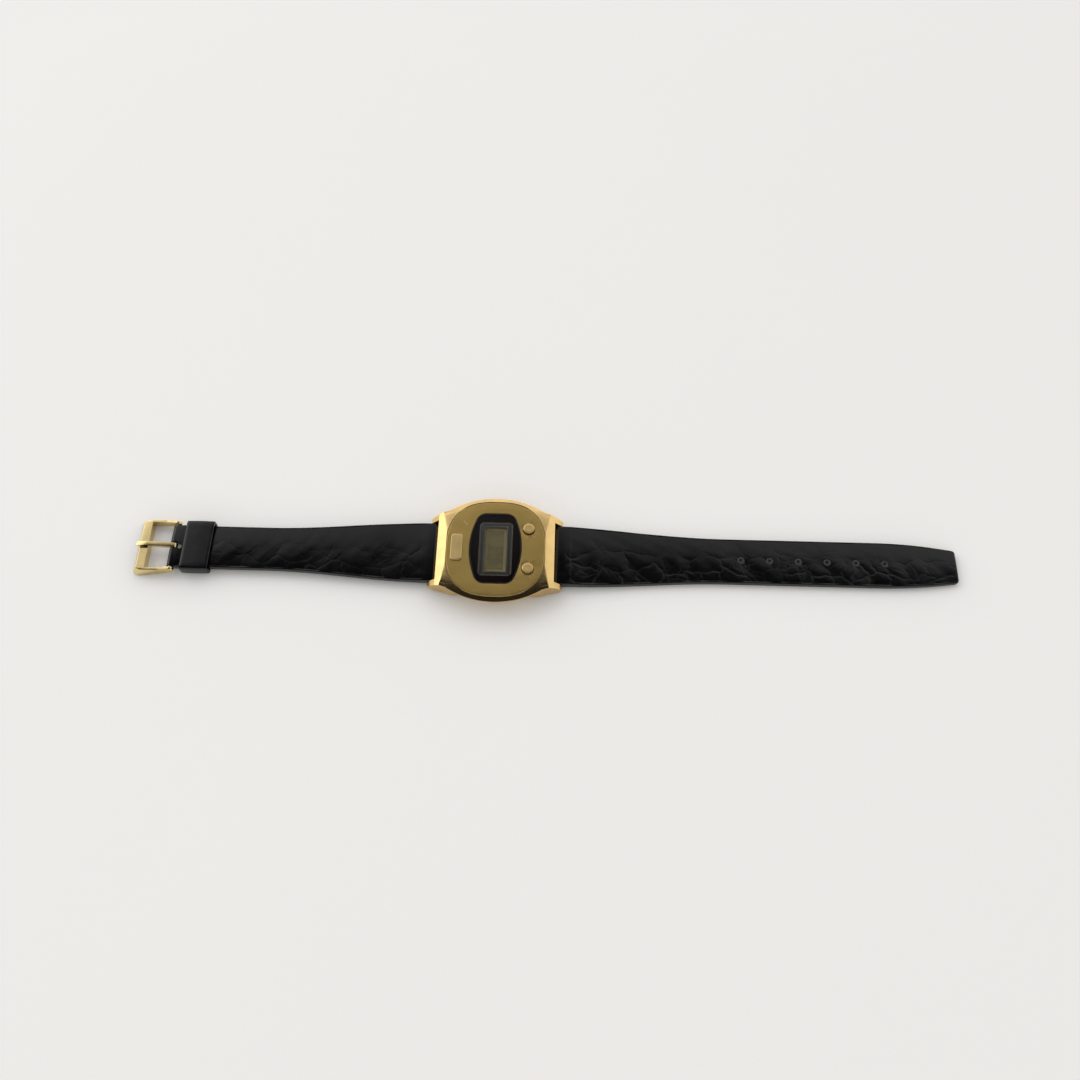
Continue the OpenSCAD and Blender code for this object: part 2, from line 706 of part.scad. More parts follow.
module long_core() {
    intersection() {
        slab(-1, 6) long_plan(0.9);
        across(strap_width) long_layer(core_from, long_length - 3, core_low, core_high);
    }
}
module adjusting_holes() {
    for (i = [0:hole_count - 1]) translate([long_length - hole_from_tip - i * hole_pitch, 0, -1])
        cylinder(r = hole_radius, h = 6, $fn = 32);
}
module long_strap_upper() {
    color([0.09, 0.08, 0.09]) place_long() difference() {
        intersection() {
            slab(-1, 8) long_plan(0);
            across(strap_width) {
                loop_side(loop_radius);
                long_layer(0, lining_from, 0, 0);
                long_layer(0, long_length, lining_thickness, 0);
            }
        }
        long_core();
        adjusting_holes();
        bar_cylinder(0, bar_height, bar_radius + running, -strap_width, strap_width);
    }
}
module long_strap_core() {
    color([0.45, 0.4, 0.33]) place_long() difference() {
        long_core();
        adjusting_holes();
    }
}
module long_strap_lining() {
    color([0.2, 0.17, 0.15]) place_long() difference() {
        intersection() {
            slab(-1, 6) long_plan(0.15);
            across(strap_width) long_layer(lining_from, long_length, 0, lining_thickness);
        }
        adjusting_holes();
    }
}

// Buckle, drawn from its pin towards -X
module buckle_side() {
    polygon([[0, pin_z - fold_radius], [0, pin_z + fold_radius], [-3, pin_z + 0.75],
        [-buckle_length + buckle_bar, buckle_height + 0.15], [-buckle_length, buckle_height],
        [-buckle_length, 0], [-buckle_length + buckle_bar, 0], [-4, 0.35]]);
    translate([0, pin_z]) circle(fold_radius);
}
// Outline of the frame, or of its ridge when drawn in at the bar and at the arms
module buckle_plan(bar_in, arm_in, pin_in) {
    right = [[fold_radius, buckle_outer - pin_in],
        [-buckle_length + 1.2 + bar_in, buckle_outer + buckle_flare - arm_in],
        [-buckle_length + bar_in, buckle_outer + buckle_flare - 0.6 - arm_in]];
    polygon(concat(right, reverse(mirror_points(right, 1, -1))));
}
module buckle_window() {
    inner = -buckle_length + buckle_bar;
    flare = buckle_flare * 0.55;
    polygon([[4, buckle_inner], [0, buckle_inner], [inner, buckle_inner + flare],
        [inner, -buckle_inner - flare], [0, -buckle_inner], [4, -buckle_inner]]);
}
module buckle_frame() {
    color("darkkhaki") difference() {
        intersection() {
            translate([pin_x, 0, 0]) hull() {
                slab(0, low_edge) buckle_plan(0, 0, 0);
                slab(buckle_height, 4) buckle_plan(bar_slope, arm_slope, 0.25);
            }
            translate([pin_x, 0, 0]) across(3 * buckle_outer) buckle_side();
        }
        translate([pin_x, 0, 0]) slab(-1, 8) buckle_window();
        bar_cylinder(pin_x, pin_z, buckle_pin_radius,
            -buckle_inner - arm_width / 2, buckle_inner + arm_width / 2);
    }
}
module buckle_pin() {
    color("silver") bar_cylinder(pin_x, pin_z, buckle_pin_radius,
        -buckle_inner - arm_width / 2, buckle_inner + arm_width / 2);
}
module buckle_tongue() {
    rest = buckle_height + 0.2;
    t = tongue_thickness;
    color("khaki") difference() {
        translate([pin_x, 0, 0]) across(tongue_width) {
            translate([0, pin_z]) circle(fold_radius - 0.05);
            polygon([[0, pin_z + fold_radius - 0.05], [-buckle_length + buckle_bar, rest + t + 0.15],
                [-buckle_length + 1.2, rest + t], [-buckle_length + 0.3, rest + 0.35],
                [-buckle_length + 0.4, rest], [-buckle_length + buckle_bar, rest + 0.1],
                [-0.6, pin_z + 0.1]]);
        }
        bar_cylinder(pin_x, pin_z, buckle_pin_radius + running, -2, 2);
    }
}

case_body();
face_plate();
badge_plate();
crystal();
crystal_gasket();
window_mask();
display_frame();
display_polariser();
display_cell();
display_reflector();
connector_strips();
module_frame();
circuit_board();
chip();
quartz_can();
trimmer();
switch_blades();
battery();
battery_contact();
battery_clamp();
clamp_screws();
case_back();
back_gasket();
button_far();
button_far_spring();
button_far_seal();
button_far_clip();
button_near();
button_near_spring();
button_near_seal();
button_near_clip();
short_bar_tube();
short_bar_pin_far();
short_bar_pin_near();
short_bar_spring();
long_bar_tube();
long_bar_pin_far();
long_bar_pin_near();
long_bar_spring();
short_strap_upper();
short_strap_core();
short_strap_lining();
keeper_loop();
buckle_frame();
buckle_pin();
buckle_tongue();
long_strap_upper();
long_strap_core();
long_strap_lining();
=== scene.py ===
"""Looks of a digital wristwatch on a leather strap, built round its CAD frame."""

import json
import math
from types import SimpleNamespace

import bmesh
import bpy
import numpy as np
from bpy.props import FloatProperty, FloatVectorProperty, IntProperty, PointerProperty
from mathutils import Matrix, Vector


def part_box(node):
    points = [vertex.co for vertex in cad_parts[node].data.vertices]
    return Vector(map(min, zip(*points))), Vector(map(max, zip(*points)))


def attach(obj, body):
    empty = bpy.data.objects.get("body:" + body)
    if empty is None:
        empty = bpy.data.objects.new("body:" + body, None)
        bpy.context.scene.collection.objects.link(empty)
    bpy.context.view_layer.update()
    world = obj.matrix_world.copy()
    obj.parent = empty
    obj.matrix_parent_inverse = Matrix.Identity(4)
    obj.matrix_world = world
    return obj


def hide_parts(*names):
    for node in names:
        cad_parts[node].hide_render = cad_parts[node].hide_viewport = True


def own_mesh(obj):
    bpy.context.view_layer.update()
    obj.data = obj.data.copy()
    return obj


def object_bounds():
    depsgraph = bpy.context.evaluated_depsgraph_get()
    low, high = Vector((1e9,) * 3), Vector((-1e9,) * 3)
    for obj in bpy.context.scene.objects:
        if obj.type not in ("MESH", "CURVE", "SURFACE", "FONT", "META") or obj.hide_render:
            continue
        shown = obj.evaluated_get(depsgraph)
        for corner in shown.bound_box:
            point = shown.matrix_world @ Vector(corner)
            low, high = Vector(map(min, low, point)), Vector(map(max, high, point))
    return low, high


bl_info = {
    "name": "Display wristwatch",
    "version": (1, 0, 0),
    "blender": (4, 5, 0),
    "location": "3D View > Sidebar > Wristwatch",
    "description": "Builds a gold display wristwatch with a scaled leather strap",
    "category": "Object",
}

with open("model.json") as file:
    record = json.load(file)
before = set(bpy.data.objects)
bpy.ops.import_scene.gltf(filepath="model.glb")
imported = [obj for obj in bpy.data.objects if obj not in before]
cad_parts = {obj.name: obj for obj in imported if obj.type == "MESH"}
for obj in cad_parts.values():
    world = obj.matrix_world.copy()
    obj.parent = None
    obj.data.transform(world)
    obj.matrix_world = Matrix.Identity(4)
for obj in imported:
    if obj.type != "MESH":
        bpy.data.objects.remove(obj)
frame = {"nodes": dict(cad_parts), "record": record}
CAD_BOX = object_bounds()
NODES = frame["nodes"]
MM = 0.001
SAME = 0.002  # corners of a CAD node closer than this, in millimetres, are merged
SLIVER = 0.012  # faces of a CAD node thinner than this, in millimetres, are dissolved before rounding
FLAT = 0.8  # faces of a CAD node that turn by less than this, in degrees, become one
FINISHES = {}  # materials by name, filled in main()


def cad_mm(node):
    """Lowest and highest corner of a CAD node, in millimetres."""
    low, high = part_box(node)
    return [v / MM for v in low], [v / MM for v in high]


def cad_middle(node):
    """X and Z of the middle of a CAD node, in millimetres."""
    low, high = cad_mm(node)
    return (low[0] + high[0]) / 2, (low[2] + high[2]) / 2


# Places of the frame that the strap is drawn to, in millimetres
BAR_X, BAR_Z = cad_middle("long_bar_tube")
PIN_X, PIN_Z = cad_middle("buckle_pin")
SHORT_END_X = cad_mm("short_strap_upper")[1][0]
SHORT_UNDERSIDE = cad_mm("short_strap_lining")[0][2]
LONG_TIP_X = cad_mm("long_strap_upper")[1][0]


class StrapSizes(bpy.types.PropertyGroup):
    """Sizes of the two strap halves."""

    lug_width: FloatProperty(
        name="Lug width", description="Width of the strap between the lugs", unit="LENGTH", default=17.2 * MM
    )
    buckle_width: FloatProperty(
        name="Buckle width", description="Width of the short half at the buckle",
        unit="LENGTH", default=12.4 * MM,
    )
    hole_width: FloatProperty(
        name="Hole width", description="Width of the long half at its holes", unit="LENGTH", default=13.0 * MM
    )
    tip_width: FloatProperty(
        name="Tip width", description="Width of the squared tip", unit="LENGTH", default=9.4 * MM
    )
    narrowing: FloatProperty(
        name="Narrowing", description="Length over which the strap narrows", unit="LENGTH", default=44.0 * MM
    )
    tip_taper: FloatProperty(
        name="Tip taper", description="Length of the taper into the tip", unit="LENGTH", default=22.0 * MM
    )
    crown: FloatProperty(
        name="Crown", description="How far the top falls from its middle to its edges",
        unit="LENGTH", default=0.28 * MM,
    )
    crease_depth: FloatProperty(
        name="Crease depth", description="Depth of the creases between the scales",
        unit="LENGTH", default=0.052 * MM,
    )
    hole_count: IntProperty(
        name="Holes", description="Number of adjusting holes", default=6, min=1, max=9
    )
    hole_pitch: FloatProperty(
        name="Hole pitch", description="Spacing of the adjusting holes", unit="LENGTH", default=7.7 * MM
    )
    hole_from_tip: FloatProperty(
        name="Last hole", description="Distance from the tip to the last hole", unit="LENGTH", default=19.5 * MM
    )
    hole_radius: FloatProperty(
        name="Hole radius", description="Radius of an adjusting hole", unit="LENGTH", default=1.0 * MM
    )


class FinishColours(bpy.types.PropertyGroup):
    """Colours of the visible finishes."""

    gold: FloatVectorProperty(
        name="Polished gold", description="Polished case and buttons",
        subtype="COLOR", default=(0.80, 0.56, 0.24),
    )
    satin: FloatVectorProperty(
        name="Satin gold", description="Face plate", subtype="COLOR", default=(0.60, 0.418, 0.135)
    )
    pale: FloatVectorProperty(
        name="Pale gold", description="Buckle and badge", subtype="COLOR", default=(0.80, 0.635, 0.31)
    )
    leather: FloatVectorProperty(
        name="Leather", description="Outer leather of the strap",
        subtype="COLOR", default=(0.0042, 0.0039, 0.0042),
    )
    display: FloatVectorProperty(
        name="Display", description="Blank display", subtype="COLOR", default=(0.3, 0.255, 0.102)
    )
    floor: FloatVectorProperty(
        name="Floor", description="Floor under the watch", subtype="COLOR", default=(0.88, 0.87, 0.855)
    )


class StageSettings(bpy.types.PropertyGroup):
    """Camera and light."""

    elevation: FloatProperty(
        name="Elevation", description="Height of the camera above the horizon",
        subtype="ANGLE", default=math.radians(64.0),
    )
    azimuth: FloatProperty(
        name="Azimuth", description="Turn of the camera round the watch",
        subtype="ANGLE", default=math.radians(1.6),
    )
    distance: FloatProperty(
        name="Distance", description="Distance of the camera from the watch", unit="LENGTH", default=275.0 * MM
    )
    focal_px: FloatProperty(
        name="Focal length", description="Focal length in pixels of a 1080 pixel frame",
        subtype="PIXEL", default=1030.0,
    )
    window_power: FloatProperty(
        name="Window light", description="Power of the large soft light", unit="POWER", default=3.9
    )
    sky: FloatProperty(
        name="Sky", description="Strength of the ceiling behind the watch", default=0.72
    )
    walls: FloatProperty(
        name="Walls", description="Strength of the walls behind and beside the watch", default=1.1
    )
    room: FloatProperty(
        name="Room", description="Strength of the dark side of the room", default=0.02
    )


# ---------------------------------------------------------------- materials

# Half sizes along X and Y, in millimetres, of the rectangles that the display's materials draw round the origin
BEZEL_OUTSIDE, BEZEL_INSIDE, DISPLAY_FIELD = (4.15, 7.5), (3.15, 6.75), (2.15, 5.75)


def put(tree, kind, values=None, **settings):
    """Adds a node; values are sockets to link or constants, by input name or number."""
    node = tree.nodes.new(kind)
    for name, value in settings.items():
        setattr(node, name, value)
    for key, value in (values or {}).items():
        socket = node.inputs[key]
        if isinstance(value, bpy.types.NodeSocket):
            tree.links.new(value, socket)
        else:
            socket.default_value = value
    return node


def rgba(colour, strength=1.0):
    """The colour times strength, with full alpha."""
    return (*(c * strength for c in colour), 1.0)


def coordinates(tree, scale=(1, 1, 1), offset=(0, 0, 0)):
    """Object coordinates in millimetres, stretched by scale."""
    place = put(tree, "ShaderNodeTexCoord").outputs["Object"]
    values = {"Vector": place, "Location": offset, "Scale": tuple(s / MM for s in scale)}
    return put(tree, "ShaderNodeMapping", values).outputs["Vector"]


def mixed(tree, factor, a, b):
    """Colour between a and b."""
    return put(tree, "ShaderNodeMix", {"Factor": factor, 6: a, 7: b}, data_type="RGBA").outputs[2]


def ranged(tree, value, low, high, to_low=0.0, to_high=1.0):
    """The value mapped from low..high to to_low..to_high, and held at the ends."""
    values = {"Value": value, "From Min": low, "From Max": high, "To Min": to_low, "To Max": to_high}
    return put(tree, "ShaderNodeMapRange", values).outputs["Result"]


def maths(tree, operation, a, b=0.0):
    """One step of arithmetic on a and b."""
    return put(tree, "ShaderNodeMath", {0: a, 1: b}, operation=operation).outputs[0]


def group_tree(name, inputs, outputs):
    """A shader node group with named sockets, and its input and output nodes."""
    tree = bpy.data.node_groups.new(name, "ShaderNodeTree")
    for label, default in inputs.items():
        kind = "NodeSocketVector" if isinstance(default, tuple) else "NodeSocketFloat"
        socket = tree.interface.new_socket(label, in_out="INPUT", socket_type=kind)
        socket.default_value = default
    for label in outputs:
        tree.interface.new_socket(label, in_out="OUTPUT", socket_type="NodeSocketFloat")
    return tree, tree.nodes.new("NodeGroupInput"), tree.nodes.new("NodeGroupOutput")


def hairline_group():
    """Hairline scratches, smudges and a fine grain, for metal, glass and plastic."""
    found = bpy.data.node_groups.get("hairlines")
    if found:
        return found
    tree, given, result = group_tree(
        "hairlines", {"Place": (0.0, 0.0, 0.0), "Roughness": 0.2, "Smudge": 0.08, "Grain": 6.0},
        ["Roughness", "Height"],
    )
    place = given.outputs["Place"]
    smudge = put(tree, "ShaderNodeTexNoise", {"Vector": place, "Scale": 0.35, "Detail": 4.0, "Distortion": 0.6})
    grain = put(tree, "ShaderNodeTexNoise", {"Vector": place, "Scale": given.outputs["Grain"], "Detail": 3.0})
    scratches = 0.0
    for turn, stretch in ((0.3, 9.0), (1.9, 13.0), (2.6, 7.0)):
        across = put(
            tree, "ShaderNodeMapping",
            {"Vector": place, "Rotation": (0.0, 0.0, turn), "Scale": (0.12, stretch, 1.0)},
        )
        lines = put(tree, "ShaderNodeTexNoise", {"Vector": across.outputs["Vector"], "Scale": 1.0, "Detail": 1.0})
        line = ranged(tree, lines.outputs["Fac"], 0.68, 0.76)
        scratches = maths(tree, "MAXIMUM", line, scratches)
    patches = ranged(tree, smudge.outputs["Fac"], 0.35, 0.7, -1.0, 1.0)
    spread = maths(tree, "MULTIPLY", patches, given.outputs["Smudge"])
    rough = maths(tree, "ADD", given.outputs["Roughness"], spread)
    rough = maths(tree, "ADD", rough, maths(tree, "MULTIPLY", scratches, 0.08))
    tree.links.new(rough, result.inputs["Roughness"])
    height = maths(tree, "SUBTRACT", maths(tree, "MULTIPLY", grain.outputs["Fac"], 0.35), scratches)
    tree.links.new(height, result.inputs["Height"])
    return tree


def pore_group():
    """Fine pores and soft undulation, for leather, rubber and card."""
    found = bpy.data.node_groups.get("pores")
    if found:
        return found
    tree, given, result = group_tree(
        "pores", {"Place": (0.0, 0.0, 0.0), "Size": 4.0, "Depth": 1.0}, ["Mask", "Height"]
    )
    cells = put(
        tree, "ShaderNodeTexVoronoi", {"Vector": given.outputs["Place"], "Scale": given.outputs["Size"]},
        feature="DISTANCE_TO_EDGE",
    )
    soft = put(tree, "ShaderNodeTexNoise", {"Vector": given.outputs["Place"], "Scale": 0.7, "Detail": 3.0})
    mask = ranged(tree, cells.outputs["Distance"], 0.0, 0.12, 1.0, 0.0)
    tree.links.new(mask, result.inputs["Mask"])
    height = maths(tree, "SUBTRACT", soft.outputs["Fac"], maths(tree, "MULTIPLY", mask, given.outputs["Depth"]))
    tree.links.new(height, result.inputs["Height"])
    return tree


def new_material(name):
    """An empty node material with a Principled shader, ready to be filled."""
    material = bpy.data.materials.new(name)
    material.use_nodes = True
    tree = material.node_tree
    tree.nodes.clear()
    shader = put(tree, "ShaderNodeBsdfPrincipled")
    output = put(tree, "ShaderNodeOutputMaterial", {"Surface": shader.outputs[0]})
    return material, tree, shader, output


def set_bump(tree, shader, height, strength, distance):
    """Bump from a height that is 1 at this distance, in millimetres."""
    bump = put(tree, "ShaderNodeBump", {"Height": height, "Strength": strength, "Distance": distance * MM})
    tree.links.new(bump.outputs["Normal"], shader.inputs["Normal"])


def hairlines(tree, place, roughness, smudge=0.08, grain=6.0):
    """The hairline group in a material's tree."""
    values = {"Place": place, "Roughness": roughness, "Smudge": smudge, "Grain": grain}
    return put(tree, "ShaderNodeGroup", values, node_tree=hairline_group())


def metal(name, colour, roughness, smudge=0.05, grain=6.0, bump=0.15, dark=0.8, brush=(1, 1, 1)):
    """Metal with hairlines, smudges and slightly uneven colour. Brush stretches the grain."""
    material, tree, shader, _ = new_material(name)
    wear = hairlines(tree, coordinates(tree, brush), roughness, smudge, grain)
    cloud = put(tree, "ShaderNodeTexNoise", {"Vector": coordinates(tree), "Scale": 0.22, "Detail": 3.0})
    tone = mixed(tree, ranged(tree, cloud.outputs["Fac"], 0.35, 0.65), rgba(colour, dark), rgba(colour))
    tree.links.new(tone, shader.inputs["Base Color"])
    tree.links.new(wear.outputs["Roughness"], shader.inputs["Roughness"])
    shader.inputs["Metallic"].default_value = 1.0
    set_bump(tree, shader, wear.outputs["Height"], bump, 0.01)
    return material


def plastic(name, colour, roughness, grain=5.0, bump=0.2, coat=0.0):
    """Moulded, cast or coated surface with a fine grain and smudges."""
    material, tree, shader, _ = new_material(name)
    wear = hairlines(tree, coordinates(tree), roughness, grain=grain)
    cloud = put(tree, "ShaderNodeTexNoise", {"Vector": coordinates(tree), "Scale": 0.5, "Detail": 4.0})
    tone = mixed(tree, cloud.outputs["Fac"], rgba(colour, 0.8), rgba(colour, 1.1))
    tree.links.new(tone, shader.inputs["Base Color"])
    tree.links.new(wear.outputs["Roughness"], shader.inputs["Roughness"])
    shader.inputs["Coat Weight"].default_value = coat
    set_bump(tree, shader, wear.outputs["Height"], bump, 0.02)
    return material


def matt(name, colour, roughness, pore, pale=1.6):
    """Leather, rubber or fibre with pores, lighter on the worn high spots."""
    material, tree, shader, _ = new_material(name)
    pores = put(tree, "ShaderNodeGroup", {"Place": coordinates(tree), "Size": pore}, node_tree=pore_group())
    wear = put(tree, "ShaderNodeTexNoise", {"Vector": coordinates(tree), "Scale": 0.4, "Detail": 5.0})
    worn = mixed(tree, ranged(tree, wear.outputs["Fac"], 0.4, 0.75), rgba(colour), rgba(colour, pale))
    tone = mixed(tree, pores.outputs["Mask"], worn, rgba(colour, 0.6))
    tree.links.new(tone, shader.inputs["Base Color"])
    rough = ranged(tree, wear.outputs["Fac"], 0.3, 0.7, roughness, roughness + 0.12)
    tree.links.new(rough, shader.inputs["Roughness"])
    set_bump(tree, shader, pores.outputs["Height"], 0.4, 0.05)
    return material


def scaled_leather(name, colour):
    """Glossy black leather whose crease attribute marks the lines between the scales, which are rougher and painted
    lighter as a painted sheen.
    """
    material, tree, shader, _ = new_material(name)
    place = coordinates(tree)
    crease = put(tree, "ShaderNodeAttribute", attribute_name="crease").outputs["Fac"]
    pores = put(tree, "ShaderNodeGroup", {"Place": place, "Size": 1.6, "Depth": 0.25}, node_tree=pore_group())
    haze = put(tree, "ShaderNodeTexNoise", {"Vector": place, "Scale": 0.3, "Detail": 5.0, "Distortion": 0.4})
    tone = mixed(tree, ranged(tree, haze.outputs["Fac"], 0.35, 0.7), rgba(colour), rgba(colour, 1.7))
    # painted sheen: the crease lines get a lighter colour than the leather
    tone = mixed(tree, crease, tone, rgba((0.021, 0.020, 0.0195)))
    tree.links.new(tone, shader.inputs["Base Color"])
    gloss = ranged(tree, haze.outputs["Fac"], 0.3, 0.7, 0.10, 0.2)
    tree.links.new(maths(tree, "ADD", gloss, maths(tree, "MULTIPLY", crease, 0.12)), shader.inputs["Roughness"])
    shader.inputs["Specular IOR Level"].default_value = 0.42
    set_bump(tree, shader, pores.outputs["Height"], 0.12, 0.06)
    return material


def clear_glass(name):
    """Clear crystal that lets the light through to what lies under it."""
    material, tree, shader, output = new_material(name)
    shader.inputs["Transmission Weight"].default_value = 1.0
    shader.inputs["IOR"].default_value = 1.45
    wear = hairlines(tree, coordinates(tree), 0.02, smudge=0.015)
    tree.links.new(wear.outputs["Roughness"], shader.inputs["Roughness"])
    tint = put(tree, "ShaderNodeTexNoise", {"Vector": coordinates(tree), "Scale": 0.2})
    tree.links.new(
        mixed(tree, tint.outputs["Fac"], (0.93, 0.93, 0.92, 1), (0.97, 0.97, 0.97, 1)), shader.inputs["Base Color"]
    )
    through = put(tree, "ShaderNodeBsdfTransparent", {"Color": (0.92, 0.92, 0.92, 1)})
    is_shadow = put(tree, "ShaderNodeLightPath").outputs["Is Shadow Ray"]
    both = put(tree, "ShaderNodeMixShader", {0: is_shadow, 1: shader.outputs[0], 2: through.outputs[0]})
    tree.links.new(both.outputs[0], output.inputs["Surface"])
    return material


def outside_of(tree, place, half_x, half_y):
    """Distance outside a rectangle round the origin, in millimetres."""
    parts = put(tree, "ShaderNodeSeparateXYZ", {0: place})
    x, y = (maths(tree, "ABSOLUTE", parts.outputs[i]) for i in (0, 1))
    return maths(tree, "MAXIMUM", maths(tree, "SUBTRACT", x, half_x), maths(tree, "SUBTRACT", y, half_y))


def laid_over(material, mask, colour):
    """Lays a colour over a finished material's own colour, where the mask is 1."""
    tree = material.node_tree
    base = next(n for n in tree.nodes if n.type == "BSDF_PRINCIPLED").inputs["Base Color"]
    tree.links.new(mixed(tree, mask, base.links[0].from_socket, rgba(colour)), base)
    return material


def scratched(material, at, turn, length):
    """Adds one faint pale scratch to a metal, at a place in millimetres."""
    tree = material.node_tree
    moved = put(tree, "ShaderNodeVectorMath", {0: coordinates(tree), 1: (-at[0], -at[1], 0.0)}, operation="ADD")
    turned = put(tree, "ShaderNodeVectorRotate", {"Vector": moved.outputs[0], "Angle": turn}, rotation_type="Z_AXIS")
    mark = ranged(tree, outside_of(tree, turned.outputs[0], length / 2, 0.02), 0.0, 0.12, 0.8, 0.0)
    return laid_over(material, mark, (0.95, 0.82, 0.52))


def display_bezel(name):
    """Dark grey plastic with paler lines along its outer and inner edges."""
    material = plastic(name, (0.045, 0.041, 0.034), 0.36, grain=8.0, bump=0.15)
    tree = material.node_tree
    place = coordinates(tree)
    outer = ranged(tree, outside_of(tree, place, *BEZEL_OUTSIDE), -0.12, 0.12)
    inner = ranged(tree, outside_of(tree, place, *BEZEL_INSIDE), -0.1, 0.1, 1.0, 0.0)
    return laid_over(material, maths(tree, "MAXIMUM", outer, inner), (0.165, 0.157, 0.136))


def blank_display(name, colour):
    """Olive display glass: a paler border round a darker field with faint cloudy bands."""
    material, tree, shader, _ = new_material(name)
    place = coordinates(tree)
    border = ranged(tree, outside_of(tree, place, *DISPLAY_FIELD), -0.12, 0.12)
    bands = put(
        tree, "ShaderNodeTexNoise",
        {"Vector": coordinates(tree, (0.16, 0.34, 1), (0.7, 0.2, 0)), "Scale": 1.0, "Detail": 2.0, "Distortion": 0.9},
    )
    field = mixed(tree, ranged(tree, bands.outputs["Fac"], 0.4, 0.6), rgba(colour, 0.72), rgba(colour, 0.98))
    tree.links.new(mixed(tree, border, field, rgba(colour, 1.5)), shader.inputs["Base Color"])
    grain = put(tree, "ShaderNodeTexNoise", {"Vector": place, "Scale": 9.0})
    tree.links.new(ranged(tree, grain.outputs["Fac"], 0.3, 0.7, 0.3, 0.42), shader.inputs["Roughness"])
    set_bump(tree, shader, grain.outputs["Fac"], 0.05, 0.01)
    return material


def make_materials(colours):
    """All finishes by name."""
    return {
        "gold_polished": metal("polished_gold", colours.gold, 0.21, smudge=0.02, bump=0.06, dark=0.86),
        "gold_satin": scratched(
            metal("satin_gold", colours.satin, 0.4, smudge=0.04, grain=5.0, bump=0.5, dark=0.9, brush=(0.35, 7, 1)),
            at=(-8.4, 7.4), turn=0.85, length=1.5,
        ),
        "gold_bevel": metal("bevelled_gold", (0.90, 0.67, 0.31), 0.4, dark=0.9),
        "gold_edge": metal("edge_gold", (0.36, 0.25, 0.09), 0.45, dark=0.9),
        "gold_button": metal("button_gold", (0.94, 0.68, 0.28), 0.4, smudge=0.04, dark=0.9),
        "gold_pale": metal("pale_gold", colours.pale, 0.2, smudge=0.06, dark=0.82),
        "steel": metal(
            "brushed_steel", (0.60, 0.59, 0.57), 0.3, smudge=0.06, grain=4.0, bump=0.4, dark=0.85, brush=(0.4, 8, 1)
        ),
        "spring_steel": metal("spring_wire", (0.50, 0.50, 0.51), 0.24, dark=0.85),
        "crystal_glass": clear_glass("crystal_glass"),
        "mask_black": plastic("black_mask", (0.026, 0.0155, 0.013), 0.16, bump=0.05),
        "display_grey": display_bezel("display_bezel"),
        "display_olive": blank_display("blank_display", colours.display),
        "foil": metal("matt_foil", (0.62, 0.61, 0.56), 0.5, grain=9.0, bump=0.4),
        "rubber_black": matt("black_rubber", (0.018, 0.018, 0.018), 0.62, pore=6.0),
        "rubber_grey": matt("grey_rubber", (0.30, 0.30, 0.32), 0.6, pore=6.0, pale=1.2),
        "module_plastic": plastic("module_plastic", (0.62, 0.57, 0.44), 0.42, grain=3.0),
        "board_green": plastic("solder_resist", (0.03, 0.16, 0.065), 0.24, grain=7.0, coat=0.4),
        "chip_black": plastic("cast_resin", (0.018, 0.018, 0.018), 0.3, grain=2.0, bump=0.5),
        "ceramic_tan": plastic("fired_ceramic", (0.42, 0.26, 0.15), 0.5, grain=6.0),
        "leather_black": scaled_leather("scaled_leather", colours.leather),
        "keeper_leather": scaled_leather("keeper_leather", (0.0075, 0.008, 0.0095)),
        "worn_leather": matt("worn_hole_edge", (0.078, 0.073, 0.064), 0.8, pore=5.0),
        "leather_lining": matt("lining_leather", (0.028, 0.021, 0.017), 0.55, pore=2.2),
        "leather_core": matt("split_leather", (0.24, 0.18, 0.13), 0.8, pore=3.0, pale=1.25),
    }


# ---------------------------------------------------------------- mesh helpers


def finish_piece(name, mesh, body, nodes, slot, sharp, finish=None, flat_faces=False):
    """Makes an object of a mesh in metres, puts it on its body and hides the CAD nodes that it stands for. Edges over
    sharp degrees stay sharp. The finish is the slot's own if none is named."""
    mesh.name = name
    mesh.materials.clear()
    mesh.materials.append(FINISHES[finish or slot])
    mesh.shade_smooth()
    mesh.set_sharp_from_angle(angle=math.radians(sharp))
    piece = bpy.data.objects.new(name, mesh)
    bpy.context.scene.collection.objects.link(piece)
    if flat_faces:
        piece.modifiers.new("flat faces", "WEIGHTED_NORMAL").keep_sharp = True
    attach(piece, body)
    if nodes:
        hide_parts(*nodes)
    return piece


def mesh_of(bm, name):
    """A cleaned mesh of a BMesh, which is freed."""
    bmesh.ops.remove_doubles(bm, verts=bm.verts, dist=1e-7)
    bmesh.ops.recalc_face_normals(bm, faces=bm.faces)
    mesh = bpy.data.meshes.new(name)
    bm.to_mesh(mesh)
    bm.free()
    if mesh.has_custom_normals:  # a copy of a CAD node brings its own, which no longer fit
        mesh.attributes.remove(mesh.attributes["custom_normal"])
    return mesh


def rounded_copy(node, width, segments, angle, keep):
    """A merged copy of a CAD node, with its edges over angle degrees rounded by width, in millimetres.
    Keep is a test of an edge's middle, in millimetres, for edges that may be rounded."""
    bm = bmesh.new()
    bm.from_mesh(NODES[node].data)
    bmesh.ops.remove_doubles(bm, verts=bm.verts, dist=SAME * MM)
    bmesh.ops.dissolve_degenerate(bm, dist=SLIVER * MM, edges=bm.edges)
    bmesh.ops.recalc_face_normals(bm, faces=bm.faces)
    bmesh.ops.dissolve_limit(bm, angle_limit=math.radians(FLAT), verts=bm.verts, edges=bm.edges)
    picked = []
    for edge in bm.edges:
        if len(edge.link_faces) != 2 or edge.calc_face_angle(0) < math.radians(angle):
            continue
        middle = (edge.verts[0].co + edge.verts[1].co) / 2 / MM
        if keep(middle):
            picked.append(edge)
    bmesh.ops.bevel(
        bm, geom=picked, offset=width * MM, offset_type="OFFSET", segments=segments, profile=0.5,
        affect="EDGES", clamp_overlap=True, harden_normals=False,
    )
    bmesh.ops.triangulate(bm, faces=[f for f in bm.faces if len(f.verts) > 4])
    return mesh_of(bm, node + "_rounded")


